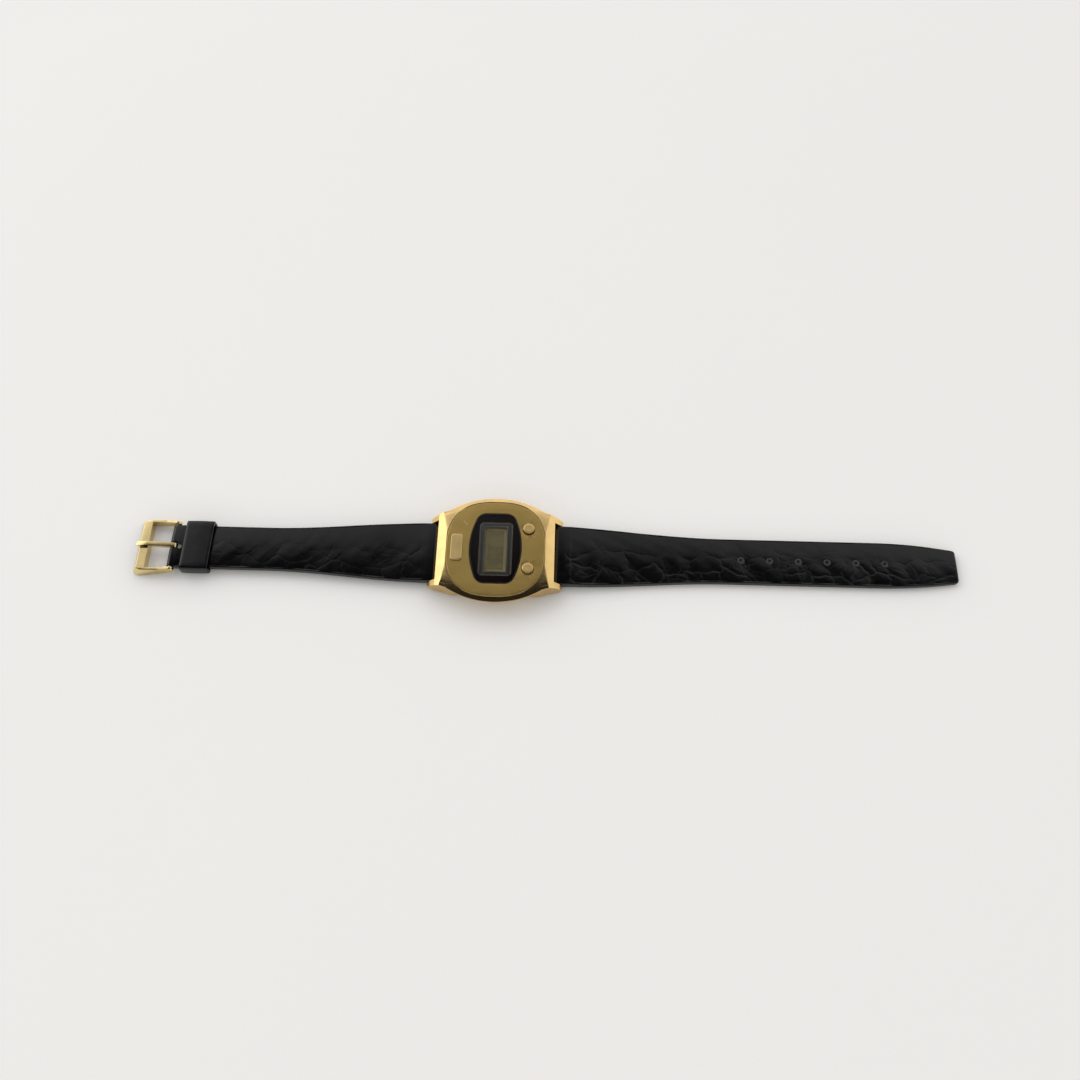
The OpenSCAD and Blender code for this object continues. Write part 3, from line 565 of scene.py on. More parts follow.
def loft(rings, name, closed_ends=True):
    """A closed skin over rings of equal point counts, in millimetres."""
    count, sides = rings.shape[0], rings.shape[1]
    verts = rings.reshape(-1, 3) * MM
    index = np.arange(count * sides).reshape(count, sides)
    ahead = np.roll(index, -1, axis=1)
    faces = np.stack([index[:-1], index[1:], ahead[1:], ahead[:-1]], axis=-1).reshape(-1, 4).tolist()
    bm = bmesh.new()
    made = [bm.verts.new(v) for v in verts.tolist()]
    for face in faces:
        bm.faces.new([made[i] for i in face])
    if closed_ends:
        for ring in (index[0], index[-1]):
            bm.faces.new([made[i] for i in ring])
    ends = [f for f in bm.faces if len(f.verts) > 4]
    bmesh.ops.triangulate(bm, faces=ends)
    return mesh_of(bm, name)


def turned(profile, x, y, name, steps=64):
    """A solid of revolution about the vertical through x, y. Profile is (radius, height) in millimetres."""
    angles = np.linspace(0, 2 * math.pi, steps, endpoint=False)
    rings = [
        np.stack([x + r * np.cos(angles), y + r * np.sin(angles), np.full(steps, z)], axis=-1)
        for r, z in profile
    ]
    return loft(np.array(rings), name)


def cut(mesh, cutters, name):
    """The mesh with the cutter meshes taken out of it."""
    body = bpy.data.objects.new(name, mesh)
    bpy.context.scene.collection.objects.link(body)
    tools = []
    for i, cutter in enumerate(cutters):
        tool = bpy.data.objects.new(f"{name}_cutter_{i}", cutter)
        bpy.context.scene.collection.objects.link(tool)
        step = body.modifiers.new("cut", "BOOLEAN")
        step.object, step.operation, step.solver = tool, "DIFFERENCE", "MANIFOLD"
        tools.append(tool)
    bpy.context.view_layer.update()
    graph = bpy.context.evaluated_depsgraph_get()
    result = bpy.data.meshes.new_from_object(body.evaluated_get(graph))
    for thing in [body, *tools]:
        old = thing.data
        bpy.data.objects.remove(thing)
        bpy.data.meshes.remove(old)
    return result


# ---------------------------------------------------------------- strap

# Sizes of the strap in the frame, in millimetres
THICKNESS = 1.9  # of a half with its lining
LINING = 0.6  # thickness of the lining
LINING_GAP = 1.6  # from the fold round the spring bar to the lining
BAR_EASE = 11  # length over which the top comes down from the fold round the spring bar
LUG_LIFT, LUG_SLOPE = 0.55, (3, 22)  # how far the long half starts above the table, and where it comes down
PIN_FOLD = 1.05  # radius of the fold round the buckle's pin
DOUBLED = 4.5  # length of that fold's lower layer
TIP_CORNER = 0.9  # radius of the tip's corners, seen from above
TIP_ROUND, TIP_DROP = 0.5, 0.45  # length and height of the rounding at the tip's end

# How the strap is drawn, in millimetres
PLAY = 0.02  # inside the width of its CAD node, on each side
STEP = 0.22  # between two rings of points
CLOSE = 1.2  # length of the closer rings at the end
SPLIT = 0.01  # half the distance between two rings at a step in the underside
TOP_POINTS, UNDER_POINTS = 69, 9  # of one ring


def ease(t):
    """1 at 0 and below, falling smoothly to 0 at 1 and above."""
    return (1 + np.cos(np.pi * np.clip(t, 0, 1))) / 2


class StrapHalf:
    """Shape of one strap half, drawn along s from its spring bar."""

    def __init__(self, sizes, long_half):
        self.sizes, self.long_half = sizes, long_half
        self.side = 1 if long_half else -1
        self.length = (LONG_TIP_X - BAR_X) if long_half else (-BAR_X - PIN_X)
        self.loop = SHORT_END_X + BAR_X  # radius of the fold round the spring bar
        self.end_width = sizes.hole_width if long_half else sizes.buckle_width

    def half(self, s):
        """Half the width at s."""
        z = self.sizes
        straight = 1.2  # the strap keeps its full width up to here
        half = (self.end_width + (z.lug_width - self.end_width) * ease((s - straight) / z.narrowing)) / 2
        if self.long_half:
            t = np.clip((s - self.length + z.tip_taper) / z.tip_taper, 0, 1)
            half = half - t * t * (self.end_width - z.tip_width) / 2
            corner = np.clip((s - self.length + TIP_CORNER) / TIP_CORNER, 0, 1)
            half = half - TIP_CORNER * (1 - np.sqrt(1 - corner**2))
        return half - PLAY

    def limits(self, s):
        """Lowest and highest point of the outer leather at s."""
        least = 0.0004  # keeps the folds from closing to a point
        around = np.sqrt(np.clip(self.loop**2 - s**2, least, None))
        lining_from = self.loop + LINING_GAP
        if self.long_half:
            rise = np.interp(s, LUG_SLOPE, [LUG_LIFT, 0.0])
            at_bar, at_tip, thinning = 2.75, 1.6, 12  # two heights of the top, and the length before the tip
            top = rise + np.interp(
                s, [*LUG_SLOPE, self.length - thinning, self.length],
                [at_bar - LUG_LIFT, THICKNESS, THICKNESS, at_tip],
            )
            low = np.where(s < lining_from, rise, rise + LINING)
            tail = np.clip((s - self.length + TIP_ROUND) / TIP_ROUND, 0, 1)
            top = top - TIP_DROP * (1 - np.sqrt(1 - tail**2))
        else:
            base = SHORT_UNDERSIDE
            at_bar = base + THICKNESS
            padding, before_pin, slope = 0.2, 6, 3  # the doubled end is this much thicker, from before the pin on
            top = at_bar + padding * (1 - ease((s - self.length + before_pin) / slope))
            low = np.where((s < lining_from) | (s > self.length - DOUBLED), base, base + LINING)
            beyond = s > self.length
            round_end = np.sqrt(np.clip(PIN_FOLD**2 - (s - self.length) ** 2, least, None))
            top = np.where(beyond, np.minimum(top, PIN_Z + round_end), top)
            low = np.where(beyond, np.maximum(low, PIN_Z - round_end), low)
        top = top + (BAR_Z + self.loop - at_bar) * ease(s / BAR_EASE)
        top = np.where(s < 0, BAR_Z + around, top)
        under_bar = np.where(s < 0, BAR_Z - around, np.minimum(low, BAR_Z - around))
        return np.where(s < self.loop, under_bar, low), top

    def seeds(self):
        """Centres of the scales, in a jittered grid."""
        draw = np.random.default_rng(11 if self.long_half else 5)
        # each row's y, its pitch and where it starts
        if self.long_half:
            rows = ((3.6, 9.5, -4), (-1.2, 8.0, -1), (-5.6, 5.6, -3))
        else:
            rows = ((3.4, 10.5, -2), (-2.6, 8.8, 2), (-6.4, 5.4, 0))
        past_end, shift, drift = 6, 1.6, 0.9  # how far a row runs on, and how far a centre may lie off its place
        points = []
        for y, pitch, start in rows:
            for s in np.arange(start, self.length + past_end, pitch):
                points.append((s + draw.uniform(-shift, shift), y + draw.uniform(-drift, drift)))
        if self.long_half:  # smaller scales round the holes
            for s in np.arange(58, 92, 4.2):
                points.append((s + draw.uniform(-1, 1), draw.uniform(-3, 3.5)))
        return np.array(points)

    def folds(self, s, y):
        """Short crossing folds in loose clusters, from 0 to 1."""
        draw = np.random.default_rng(31 if self.long_half else 37)
        width = 0.15  # half width of a fold, in millimetres
        # each cluster's middle, its reach along and across, and its number of folds
        if self.long_half:
            clusters = ((9, -4, 7, 2.2, 11), (30, -4.5, 9, 1.5, 9), (50, -2, 6, 3, 12), (64, -1.5, 6, 3.2, 16),
                        (74, 2.5, 5, 2, 8), (88, 0, 4, 3, 9), (99, -1.5, 6, 2.6, 7))
        else:
            clusters = ((13, -3.5, 7, 2.6, 11), (27, -2.5, 7, 2.0, 9), (41, -1.5, 6, 2.2, 7), (57, -1, 5, 2.2, 5))
        deepest = np.zeros(len(s))
        for s0, y0, reach, spread, count in clusters:
            for _ in range(count):
                at = (s0 + draw.normal(0, reach * 0.5), y0 + draw.normal(0, spread * 0.6))
                turn, length = draw.uniform(-1.3, 1.3), draw.uniform(1.6, 5.5)
                bow, depth = draw.uniform(-0.09, 0.09), draw.uniform(0.25, 0.8)
                along = (s - at[0]) * math.cos(turn) + (y - at[1]) * math.sin(turn)
                aside = (y - at[1]) * math.cos(turn) - (s - at[0]) * math.sin(turn) - bow * along**2
                fade = np.clip(1 - (along / length) ** 2, 0, 1)
                deepest = np.maximum(deepest, depth * fade * np.exp(-((aside / width) ** 2)))
        return deepest

    def creases(self, s, y):
        """How deep the crease between scales is at each point, and how full the scale, both from 0 to 1."""
        width, rounding, stretch = 0.17, 1.6, 1.15  # half width of a crease, and the roundness and stretch of a scale
        bend_s = s + 0.55 * np.sin(y * 0.9 + s * 0.31) + 0.22 * np.sin(y * 2.7 - s * 1.3)
        bend_y = y + 0.5 * np.sin(s * 0.42) + 0.18 * np.sin(s * 1.7 + y)
        near = np.full((2, len(s)), np.inf)  # distances to the two nearest centres
        for ps, py in self.seeds():
            away = np.hypot(bend_s - ps, (bend_y - py) * stretch)
            first = np.minimum(near[0], away)
            near[1] = np.minimum(near[1], np.maximum(near[0], away))
            near[0] = first
        gap = (near[1] - near[0]) / 2
        line = np.exp(-((gap / width) ** 2))
        patch = 0.5 + 0.5 * np.sin(s * 0.23 + 1.1) * np.cos(y * 0.55 + s * 0.09)
        strength = np.clip(0.2 + 0.9 * patch - 0.05 * (y + 2), 0.08, 1)
        pillow = np.clip(gap / rounding, 0, 1)
        relief = (0.4 + 0.6 / (1 + np.exp((y - 0.8) * 2.2))) * (1.0 if self.long_half else 0.5)
        return np.maximum(line * strength**1.5, self.folds(s, y)) * relief, 1 - (1 - pillow) * relief

    def waves(self, s, y):
        """Soft unevenness of the leather, in millimetres."""
        draw = np.random.default_rng(21 if self.long_half else 17)
        steepness = 0.0045  # height of a wave for each millimetre of its length
        height = 0
        for length in (13.0, 9.5, 7.0, 5.2, 4.1):
            turn, phase = draw.uniform(-1.1, 1.1), draw.uniform(0, 6.3)
            along = s * math.cos(turn) + y * math.sin(turn) + 0.8 * np.sin(y * 0.5 + phase)
            height = height + steepness * length * np.sin(2 * math.pi * along / length + phase)
        return height * (0.2 + 0.3 / (1 + np.exp(y * 0.9)))

    def scaled(self, s):
        """1 where the leather has scales, also at the tip, falling to 0 round the bar and the buckle's pin."""
        margin, fade, past_tip = 1.5, 2, 9
        end = self.length + past_tip if self.long_half else self.length - margin
        return np.clip((s - margin) / fade, 0, 1) * np.clip((end - s) / fade, 0, 1)

    def section(self, low, top, half):
        """One ring of points round the leather, and which of them lie on its top."""
        edge = min(0.42, (top - low) * 0.4)  # radius of the upper edges
        heel = min(0.15, (top - low) * 0.25)  # slope of the lower edges
        full = 1.1  # leather thinner than this has less crown
        arc = np.linspace(0, math.pi / 2, 6)
        flat = half - edge
        y_top = np.linspace(flat, -flat, TOP_POINTS)
        crown = self.sizes.crown * min(1.0, (top - low) / full)
        fall = crown * (flat / half) ** 2
        z_top = top - crown * (y_top / half) ** 2
        right = np.stack([flat + edge * np.cos(arc), top - fall - edge + edge * np.sin(arc)], axis=-1)[:-1]
        left = right[::-1] * (-1, 1)
        y_low = np.linspace(-half + heel, half - heel, UNDER_POINTS)
        under = np.stack([y_low, np.full(UNDER_POINTS, low)], axis=-1)
        first = np.array([[-half, low + heel]])
        last = np.array([[half, low + heel]])
        ring = np.concatenate([right, np.stack([y_top, z_top], axis=-1), left, first, under, last])
        return ring, slice(len(right), len(right) + len(y_top))

    def build(self, name):
        """The whole half without its bores and holes, with the scales in its top."""
        start, end = -self.loop, self.length + (0.0 if self.long_half else PIN_FOLD)
        lining_from = self.loop + LINING_GAP
        # rings lie closer round the spring bar and at the end, and in pairs at the steps in the underside
        steps = [start + self.loop * (1 - math.cos(t)) for t in np.linspace(0, math.pi / 2, 8)]
        steps += list(np.arange(0.2, end - CLOSE, STEP))
        steps += [end - CLOSE * math.cos(t) for t in np.linspace(0, math.pi / 2, 12)]
        marks = [lining_from - SPLIT, lining_from + SPLIT]
        if not self.long_half:
            marks += [self.length - (DOUBLED + SPLIT), self.length - (DOUBLED - SPLIT)]
        s = np.array(sorted(set(steps) | set(marks)))
        low, top = self.limits(s)
        half = self.half(s)
        rings = []
        for i in range(len(s)):
            ring, upper = self.section(low[i], top[i], half[i])
            rings.append(np.column_stack([np.full(len(ring), s[i]), ring]))
        rings = np.array(rings)
        faces_up = rings[:, upper]
        along, across = faces_up[..., 0].ravel(), faces_up[..., 1].ravel()
        line, pillow = self.creases(along, across)
        sag, sunk = 0.03, 0.05  # a scale's edge below its middle, and room for the waves inside the CAD node
        lowered = line * self.sizes.crease_depth + (1 - pillow) * sag + sunk - self.waves(along, across)
        faces_up[..., 2] -= (lowered * self.scaled(along)).reshape(faces_up.shape[:2])
        rings[:, upper] = faces_up
        rings[..., 0] = self.side * (BAR_X + rings[..., 0])
        return loft(rings, name)

    def mark_creases(self, mesh):
        """Writes the crease attribute that the leather's material reads."""
        co = np.zeros(len(mesh.vertices) * 3)
        mesh.vertices.foreach_get("co", co)
        co = co.reshape(-1, 3) / MM
        s = self.side * co[:, 0] - BAR_X
        skin = 0.6  # points further below the top aren't on the scaled side
        line, _ = self.creases(s, co[:, 1])
        _, top = self.limits(s)
        line = np.where(co[:, 2] > top - skin, line, 0) * self.scaled(s)
        layer = mesh.attributes.new("crease", "FLOAT", "POINT")
        layer.data.foreach_set("value", line.astype(np.float32))


def bar_cutter(x, z, radius, name):
    """A round bar along Y through x, z, in millimetres, longer than the strap is wide."""
    reach, steps = 12, 48
    angles = np.linspace(0, 2 * math.pi, steps, endpoint=False)
    rings = [
        np.stack([x + radius * np.cos(angles), np.full(steps, y), z + radius * np.sin(angles)], axis=-1)
        for y in (-reach, reach)
    ]
    return loft(np.array(rings), name)


def block(low, high, name):
    """A box between two corners, in millimetres."""
    bm = bmesh.new()
    bmesh.ops.create_cube(bm, size=1)
    for vert in bm.verts:
        vert.co = Vector([(low[i] if vert.co[i] < 0 else high[i]) * MM for i in range(3)])
    return mesh_of(bm, name)


def hole_places(sizes):
    """X of each adjusting hole, from the tip inwards."""
    last = LONG_TIP_X - sizes.hole_from_tip
    return [last - i * sizes.hole_pitch for i in range(sizes.hole_count)]


# ---------------------------------------------------------------- geometry nodes


def geometry_tree(name, inputs):
    """A geometry node group with a geometry output and named inputs."""
    tree = bpy.data.node_groups.new(name, "GeometryNodeTree")
    tree.interface.new_socket("Geometry", in_out="OUTPUT", socket_type="NodeSocketGeometry")
    kinds = {int: "NodeSocketInt", float: "NodeSocketFloat", tuple: "NodeSocketVector"}
    for label, value in inputs.items():
        kind = "NodeSocketMaterial" if label == "Material" else kinds[type(value)]
        tree.interface.new_socket(label, in_out="INPUT", socket_type=kind)
    return tree, tree.nodes.new("NodeGroupInput"), tree.nodes.new("NodeGroupOutput")


def grown_mesh(tree, inputs, name):
    """Runs a geometry node group with these inputs and returns its plain mesh."""
    holder = bpy.data.objects.new(name + "_maker", bpy.data.meshes.new(name + "_maker"))
    bpy.context.scene.collection.objects.link(holder)
    step = holder.modifiers.new("grow", "NODES")
    step.node_group = tree
    for item in tree.interface.items_tree:
        if item.in_out == "INPUT" and item.name in inputs:
            step[item.identifier] = inputs[item.name]
    bpy.context.view_layer.update()
    graph = bpy.context.evaluated_depsgraph_get()
    mesh = bpy.data.meshes.new_from_object(holder.evaluated_get(graph))
    holder.modifiers.remove(step)
    old = holder.data
    bpy.data.objects.remove(holder)
    bpy.data.meshes.remove(old)
    return mesh


def finish_tree(tree, given, result, geometry):
    """Ends a group in Realize Instances and Set Material."""
    real = put(tree, "GeometryNodeRealizeInstances", {"Geometry": geometry})
    coat = put(
        tree, "GeometryNodeSetMaterial",
        {"Geometry": real.outputs["Geometry"], "Material": given.outputs["Material"]},
    )
    tree.links.new(coat.outputs["Geometry"], result.inputs["Geometry"])


def coil_tree(inputs):
    """One coil of round wire along Z, turned and moved to its place."""
    found = bpy.data.node_groups.get("wire_coil")
    if found:
        return found
    tree, given, result = geometry_tree("wire_coil", inputs)
    spiral = put(
        tree, "GeometryNodeCurveSpiral",
        {"Resolution": 32, "Rotations": given.outputs["Turns"], "Start Radius": given.outputs["Radius"],
         "End Radius": given.outputs["Radius"], "Height": given.outputs["Height"]},
    )
    wire = put(tree, "GeometryNodeCurvePrimitiveCircle", {"Resolution": 12, "Radius": given.outputs["Wire"]})
    tube = put(
        tree, "GeometryNodeCurveToMesh",
        {"Curve": spiral.outputs[0], "Profile Curve": wire.outputs[0], "Fill Caps": True},
    )
    placed = put(
        tree, "GeometryNodeTransform",
        {"Geometry": tube.outputs[0], "Rotation": given.outputs["Turn"], "Translation": given.outputs["Place"]},
    )
    finish_tree(tree, given, result, placed.outputs[0])
    return tree


def rim_tree(inputs):
    """Equal rings in a row along X, one round each adjusting hole."""
    tree, given, result = geometry_tree("hole_rims", inputs)
    along = put(tree, "ShaderNodeCombineXYZ", {"X": given.outputs["Pitch"]})
    row = put(
        tree, "GeometryNodeMeshLine",
        {"Count": given.outputs["Count"], "Start Location": given.outputs["Place"], "Offset": along.outputs[0]},
    )
    circle = put(tree, "GeometryNodeCurvePrimitiveCircle", {"Resolution": 40, "Radius": given.outputs["Radius"]})
    edge = put(tree, "GeometryNodeCurvePrimitiveCircle", {"Resolution": 10, "Radius": given.outputs["Rim"]})
    ring = put(tree, "GeometryNodeCurveToMesh", {"Curve": circle.outputs[0], "Profile Curve": edge.outputs[0]})
    rows = put(
        tree, "GeometryNodeInstanceOnPoints", {"Points": row.outputs[0], "Instance": ring.outputs[0]}
    )
    finish_tree(tree, given, result, rows.outputs[0])
    return tree


# ---------------------------------------------------------------- operators

BACKDROP = (0.805, 0.795, 0.78, 1)  # the floor far away, and the world where the camera sees it
PAPER = (0.99, 0.985, 0.97)  # colour of the room's lower lights
FRAME_PX, SENSOR_MM = 1080, 36.0
CAMERA_AIM = (11.8, 2.7, 5.8)  # in millimetres
BUTTON_TRAVEL, PIN_TRAVEL = 0.4, 1.2  # strokes of the joints that squeeze a coil, in millimetres


def settings():
    """The strap's sizes, the colours and the stage as set in the scene."""
    return bpy.context.scene.watch_strap, bpy.context.scene.watch_colours, bpy.context.scene.watch_stage


def strap_mm():
    """The strap's sizes in millimetres, and its count of holes."""
    group = settings()[0]
    values = {name: getattr(group, name) for name in StrapSizes.__annotations__}
    return SimpleNamespace(**{name: round(v / MM, 4) if isinstance(v, float) else v for name, v in values.items()})


class WATCH_OT_stage(bpy.types.Operator):
    """Makes the floor, the room, the window light and the camera"""

    bl_idname = "watch.stage"
    bl_label = "Stage"

    def floor(self, colour):
        """A pale floor just under the watch, which fades to the backdrop and keeps the watch's shadow. Its glow also
        carries a painted contact shadow, from ambient occlusion near the watch.
        """
        reach, gap = 4.0, 0.02 * MM
        fade_from, fade_to = 260, 600  # millimetres from the watch
        painted_shade_reach = 10 * MM  # how near the watch the painted contact shadow darkens the floor's glow
        bm = bmesh.new()
        bmesh.ops.create_grid(bm, x_segments=2, y_segments=2, size=reach)
        for vert in bm.verts:
            vert.co.z = CAD_BOX[0].z - gap
        mesh = mesh_of(bm, "floor")
        material, tree, shader, _ = new_material("pale_floor")
        cloud = put(tree, "ShaderNodeTexNoise", {"Vector": coordinates(tree), "Scale": 0.01, "Detail": 3.0})
        tone = mixed(tree, cloud.outputs["Fac"], rgba(colour, 0.985), rgba(colour, 1.01))
        shader.inputs["Roughness"].default_value = 0.9
        shader.inputs["Specular IOR Level"].default_value = 0.0
        painted_shade_ao = put(tree, "ShaderNodeAmbientOcclusion", {"Distance": painted_shade_reach}, samples=4).outputs["AO"]
        away = put(tree, "ShaderNodeVectorMath", {0: coordinates(tree)}, operation="LENGTH").outputs["Value"]
        far = ranged(tree, away, fade_from, fade_to)
        path = put(tree, "ShaderNodeLightPath")
        seen = maths(tree, "MAXIMUM", path.outputs["Is Camera Ray"], path.outputs["Is Glossy Ray"])
        seen = maths(tree, "MAXIMUM", seen, path.outputs["Is Transmission Ray"])
        tone = mixed(tree, maths(tree, "MULTIPLY", far, seen), tone, (0, 0, 0, 1))
        tree.links.new(tone, shader.inputs["Base Color"])
        # painted contact shadow: ambient occlusion darkens the floor's glow near the watch
        glow = mixed(tree, painted_shade_ao, (0, 0, 0, 1), rgba(colour, 0.49))
        glow = mixed(tree, far, glow, BACKDROP)
        tree.links.new(mixed(tree, seen, (0, 0, 0, 1), glow), shader.inputs["Emission Color"])
        shader.inputs["Emission Strength"].default_value = 1.0
        mesh.materials.append(material)
        floor = bpy.data.objects.new("floor", mesh)
        bpy.context.scene.collection.objects.link(floor)

    def room(self, stage):
        """A lit ceiling and brighter walls behind the watch, a dark ceiling in front of it, and soft light low in
        front and from below. The camera sees the backdrop's plain colour instead."""
        world = bpy.data.worlds.new("room")
        bpy.context.scene.world = world
        world.use_nodes = True
        tree = world.node_tree
        tree.nodes.clear()
        way = put(tree, "ShaderNodeTexCoord").outputs["Generated"]
        x, y, z = put(tree, "ShaderNodeSeparateXYZ", {0: way}).outputs  # of a direction, each from -1 to 1
        beside = maths(tree, "MULTIPLY", maths(tree, "ABSOLUTE", x), 0.45)
        behind = ranged(tree, maths(tree, "ADD", y, beside), 0.42, 0.62)
        ceiling = mixed(tree, behind, rgba((1, 1, 1), stage.room), rgba((1.0, 0.99, 0.985), stage.sky))
        wall = maths(tree, "MULTIPLY", ranged(tree, z, 0.58, 0.74, 1.0, 0.0), ranged(tree, y, -0.15, 0.1))
        shade = mixed(tree, wall, ceiling, rgba((1.0, 0.99, 0.97), stage.walls))
        front = maths(tree, "MULTIPLY", ranged(tree, y, -0.6, -0.3, 1.0, 0.0), ranged(tree, z, 0.3, 0.55, 1.0, 0.0))
        shade = mixed(tree, front, shade, rgba(PAPER, 0.9))
        shade = mixed(tree, ranged(tree, z, -0.25, -0.05, 1.0, 0.0), shade, rgba(PAPER, 0.6))
        seen = put(tree, "ShaderNodeLightPath").outputs["Is Camera Ray"]
        shade = mixed(tree, seen, shade, BACKDROP)
        light = put(tree, "ShaderNodeBackground", {"Color": shade, "Strength": 1.0})
        put(tree, "ShaderNodeOutputWorld", {"Surface": light.outputs[0]})

    def lamp(self, name, way, distance, size, power, colour):
        """A square area light that shines at the origin from a direction, at a distance in metres."""
        data = bpy.data.lights.new(name, "AREA")
        data.shape, data.size, data.energy, data.color = "SQUARE", size, power, colour
        lamp = bpy.data.objects.new(name, data)
        bpy.context.scene.collection.objects.link(lamp)
        lamp.location = Vector(way).normalized() * distance
        lamp.rotation_euler = Vector(way).to_track_quat("Z", "Y").to_euler()

    def camera(self, stage):
        """The photo's camera."""
        data = bpy.data.cameras.new("camera")
        data.sensor_width = SENSOR_MM
        data.lens = stage.focal_px / FRAME_PX * data.sensor_width
        data.clip_start, data.clip_end = 0.005, 20
        camera = bpy.data.objects.new("camera", data)
        bpy.context.scene.collection.objects.link(camera)
        a, e = stage.azimuth, stage.elevation
        back = Vector((math.sin(a) * math.cos(e), -math.cos(a) * math.cos(e), math.sin(e)))
        aim = Vector(CAMERA_AIM) * MM
        camera.location = aim + back * stage.distance
        camera.rotation_euler = back.to_track_quat("Z", "Y").to_euler()
        bpy.context.scene.camera = camera

    def execute(self, context):
        _, colours, stage = settings()
        self.floor(colours.floor)
        self.room(stage)
        self.lamp(
            "window", way=(-0.85, 0.5, 0.5), distance=1.4, size=1.2, power=stage.window_power,
            colour=(1.0, 0.985, 0.96),
        )
        self.camera(stage)
        context.scene.view_settings.view_transform = "Standard"
        return {"FINISHED"}


def two_toned(piece, material, test):
    """Gives the faces that pass the test a second material."""
    piece.data.materials.append(material)
    for face in piece.data.polygons:
        if test(face.center / MM, face.normal):
            face.material_index = 1


class WATCH_OT_case(bpy.types.Operator):
    """Makes the polished case and its snap-on back"""

    bl_idname = "watch.case"
    bl_label = "Case"

    def execute(self, context):
        cavity, deck, bottom = 13.0, 5.0, 0.1  # half size of the cavity, and two heights, in millimetres

        def outside(p):
            """Edges inside the cavity stay as they are, because nobody sees them."""
            return abs(p.x) > cavity or abs(p.y) > cavity or p.z > deck

        shell = rounded_copy("case_body", 0.14, 3, 18, outside)
        finish_piece("case_shell", shell, "case", ["case_body"], "gold_polished", 24, flat_faces=True)
        back = rounded_copy("case_back", 0.12, 2, 40, lambda p: p.z < bottom)
        finish_piece("snap_back", back, "case", ["case_back"], "steel", 50, flat_faces=True)
        return {"FINISHED"}


class WATCH_OT_face(bpy.types.Operator):
    """Makes the satin face plate, the bare badge and the display window"""

    bl_idname = "watch.face"
    bl_label = "Face and display"

    def execute(self, context):
        top = cad_mm("face_plate")[1][2]
        window, rim, bezel_top = (7.6, 10.7), 0.17, 4.9  # half sizes, depth of the rim, and a height
        plate = rounded_copy("face_plate", 0.16, 2, 40, lambda p: p.z > top - 0.02)
        face = finish_piece("satin_face", plate, "case", ["face_plate"], "gold_satin", 50, flat_faces=True)

        def window_edge(p, n):
            """The rounded rim round the window, which is darker than the plate."""
            return abs(p.x) < window[0] and abs(p.y) < window[1] and p.z > top - rim and n.z < 0.98

        two_toned(face, FINISHES["gold_edge"], window_edge)
        badge = rounded_copy("badge_plate", 0.12, 3, 40, lambda p: p.z > top + 0.1)
        finish_piece("bare_badge", badge, "case", ["badge_plate"], "gold_pale", 50, "gold_bevel", flat_faces=True)
        bezel = rounded_copy("display_frame", 0.16, 3, 40, lambda p: p.z > bezel_top)
        finish_piece("display_bezel", bezel, "case", ["display_frame"], "display_grey", 50, flat_faces=True)
        return {"FINISHED"}


class WATCH_OT_buttons(bpy.types.Operator):
    """Makes the two push buttons and all the coil springs"""

    bl_idname = "watch.buttons"
    bl_label = "Buttons and springs"

    def cap(self, node, body):
        """A button turned round its axis: a stem with a groove for its clip, and a head with one for its seal."""
        low, high = cad_mm(node)
        x, y = (low[0] + high[0]) / 2, (low[1] + high[1]) / 2
        axis, chamfer, soft = 0.02, 0.05, 0.18  # radius at the middle, lower edges and rounded top edge
        radius, stem = (high[0] - low[0]) / 2, 0.5
        bottom, under, top = low[2], 5.3, high[2]
        clip, clip_low, clip_high = stem - 0.15, 3.03, 3.26
        seal, seal_low, seal_high = radius - 0.2, under + 0.25, under + 0.61
        step = 0.01  # the walls of the grooves slope by this
        round_edge = [
            (radius - soft + soft * math.cos(t), top - soft + soft * math.sin(t))
            for t in np.linspace(0, math.pi / 2, 6)
        ]
        profile = [
            (axis, bottom), (stem - chamfer, bottom), (stem, bottom + chamfer),
            (stem, clip_low), (clip, clip_low + step), (clip, clip_high - step), (stem, clip_high),
            (stem, under - step), (radius - chamfer, under), (radius, under + chamfer),
            (radius, seal_low), (seal, seal_low + step), (seal, seal_high - step), (radius, seal_high),
            *round_edge, (0.8, top - 0.005), (axis, top - 0.012),  # a slightly dished head
        ]
        mesh = turned(profile, x, y, node + "_turned")
        finish_piece(node + "_cap", mesh, body, [node], "gold_polished", 40, "gold_button")

    def spring(self, name, node, wire, turns, half, joint, travel):
        """One coil, not squeezed: its joint is not used. Half is 0 for a button's coil, and for half of a bar's coil
        1 or -1, the side of Y that it reaches to."""
        low, high = (Vector(corner) for corner in cad_mm(node))
        middle, size = (low + high) / 2, high - low
        length = size.y / 2 if half else size.z
        foot = middle.copy() if half else Vector((middle.x, middle.y, low.z))
        axis = Vector((0, half, 0)) if half else Vector((0, 0, 1))
        start = foot if half else foot + axis * wire
        inputs = {
            "Turns": turns, "Radius": (size.x / 2 - wire) * MM, "Wire": wire * MM,
            "Height": (length - wire * (1 if half else 2)) * MM, "Turn": (-half * math.pi / 2, 0.0, 0.0),
            "Place": tuple(start * MM), "Material": FINISHES["spring_steel"],
        }
        mesh = grown_mesh(coil_tree(inputs), inputs, name)
        piece = finish_piece(name, mesh, "case", [node], "spring_steel", 60)
        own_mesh(piece)

    def springs(self):
        """The coil of each button, and two halves of the coil in each spring bar."""
        for end, side in (("far", 1), ("near", -1)):
            self.spring(
                f"button_{end}_spring_coil", f"button_{end}_spring", wire=0.1, turns=3.0, half=0,
                joint=f"{end}_button_press", travel=BUTTON_TRAVEL,
            )
            for strap in ("short", "long"):
                self.spring(
                    f"{strap}_bar_spring_{end}_coil", f"{strap}_bar_spring", wire=0.07, turns=4.5, half=side,
                    joint=f"{strap}_{end}_pin_slide", travel=PIN_TRAVEL,
                )

    def execute(self, context):
        self.cap("button_far", "far_button")
        self.cap("button_near", "near_button")
        self.springs()
        return {"FINISHED"}


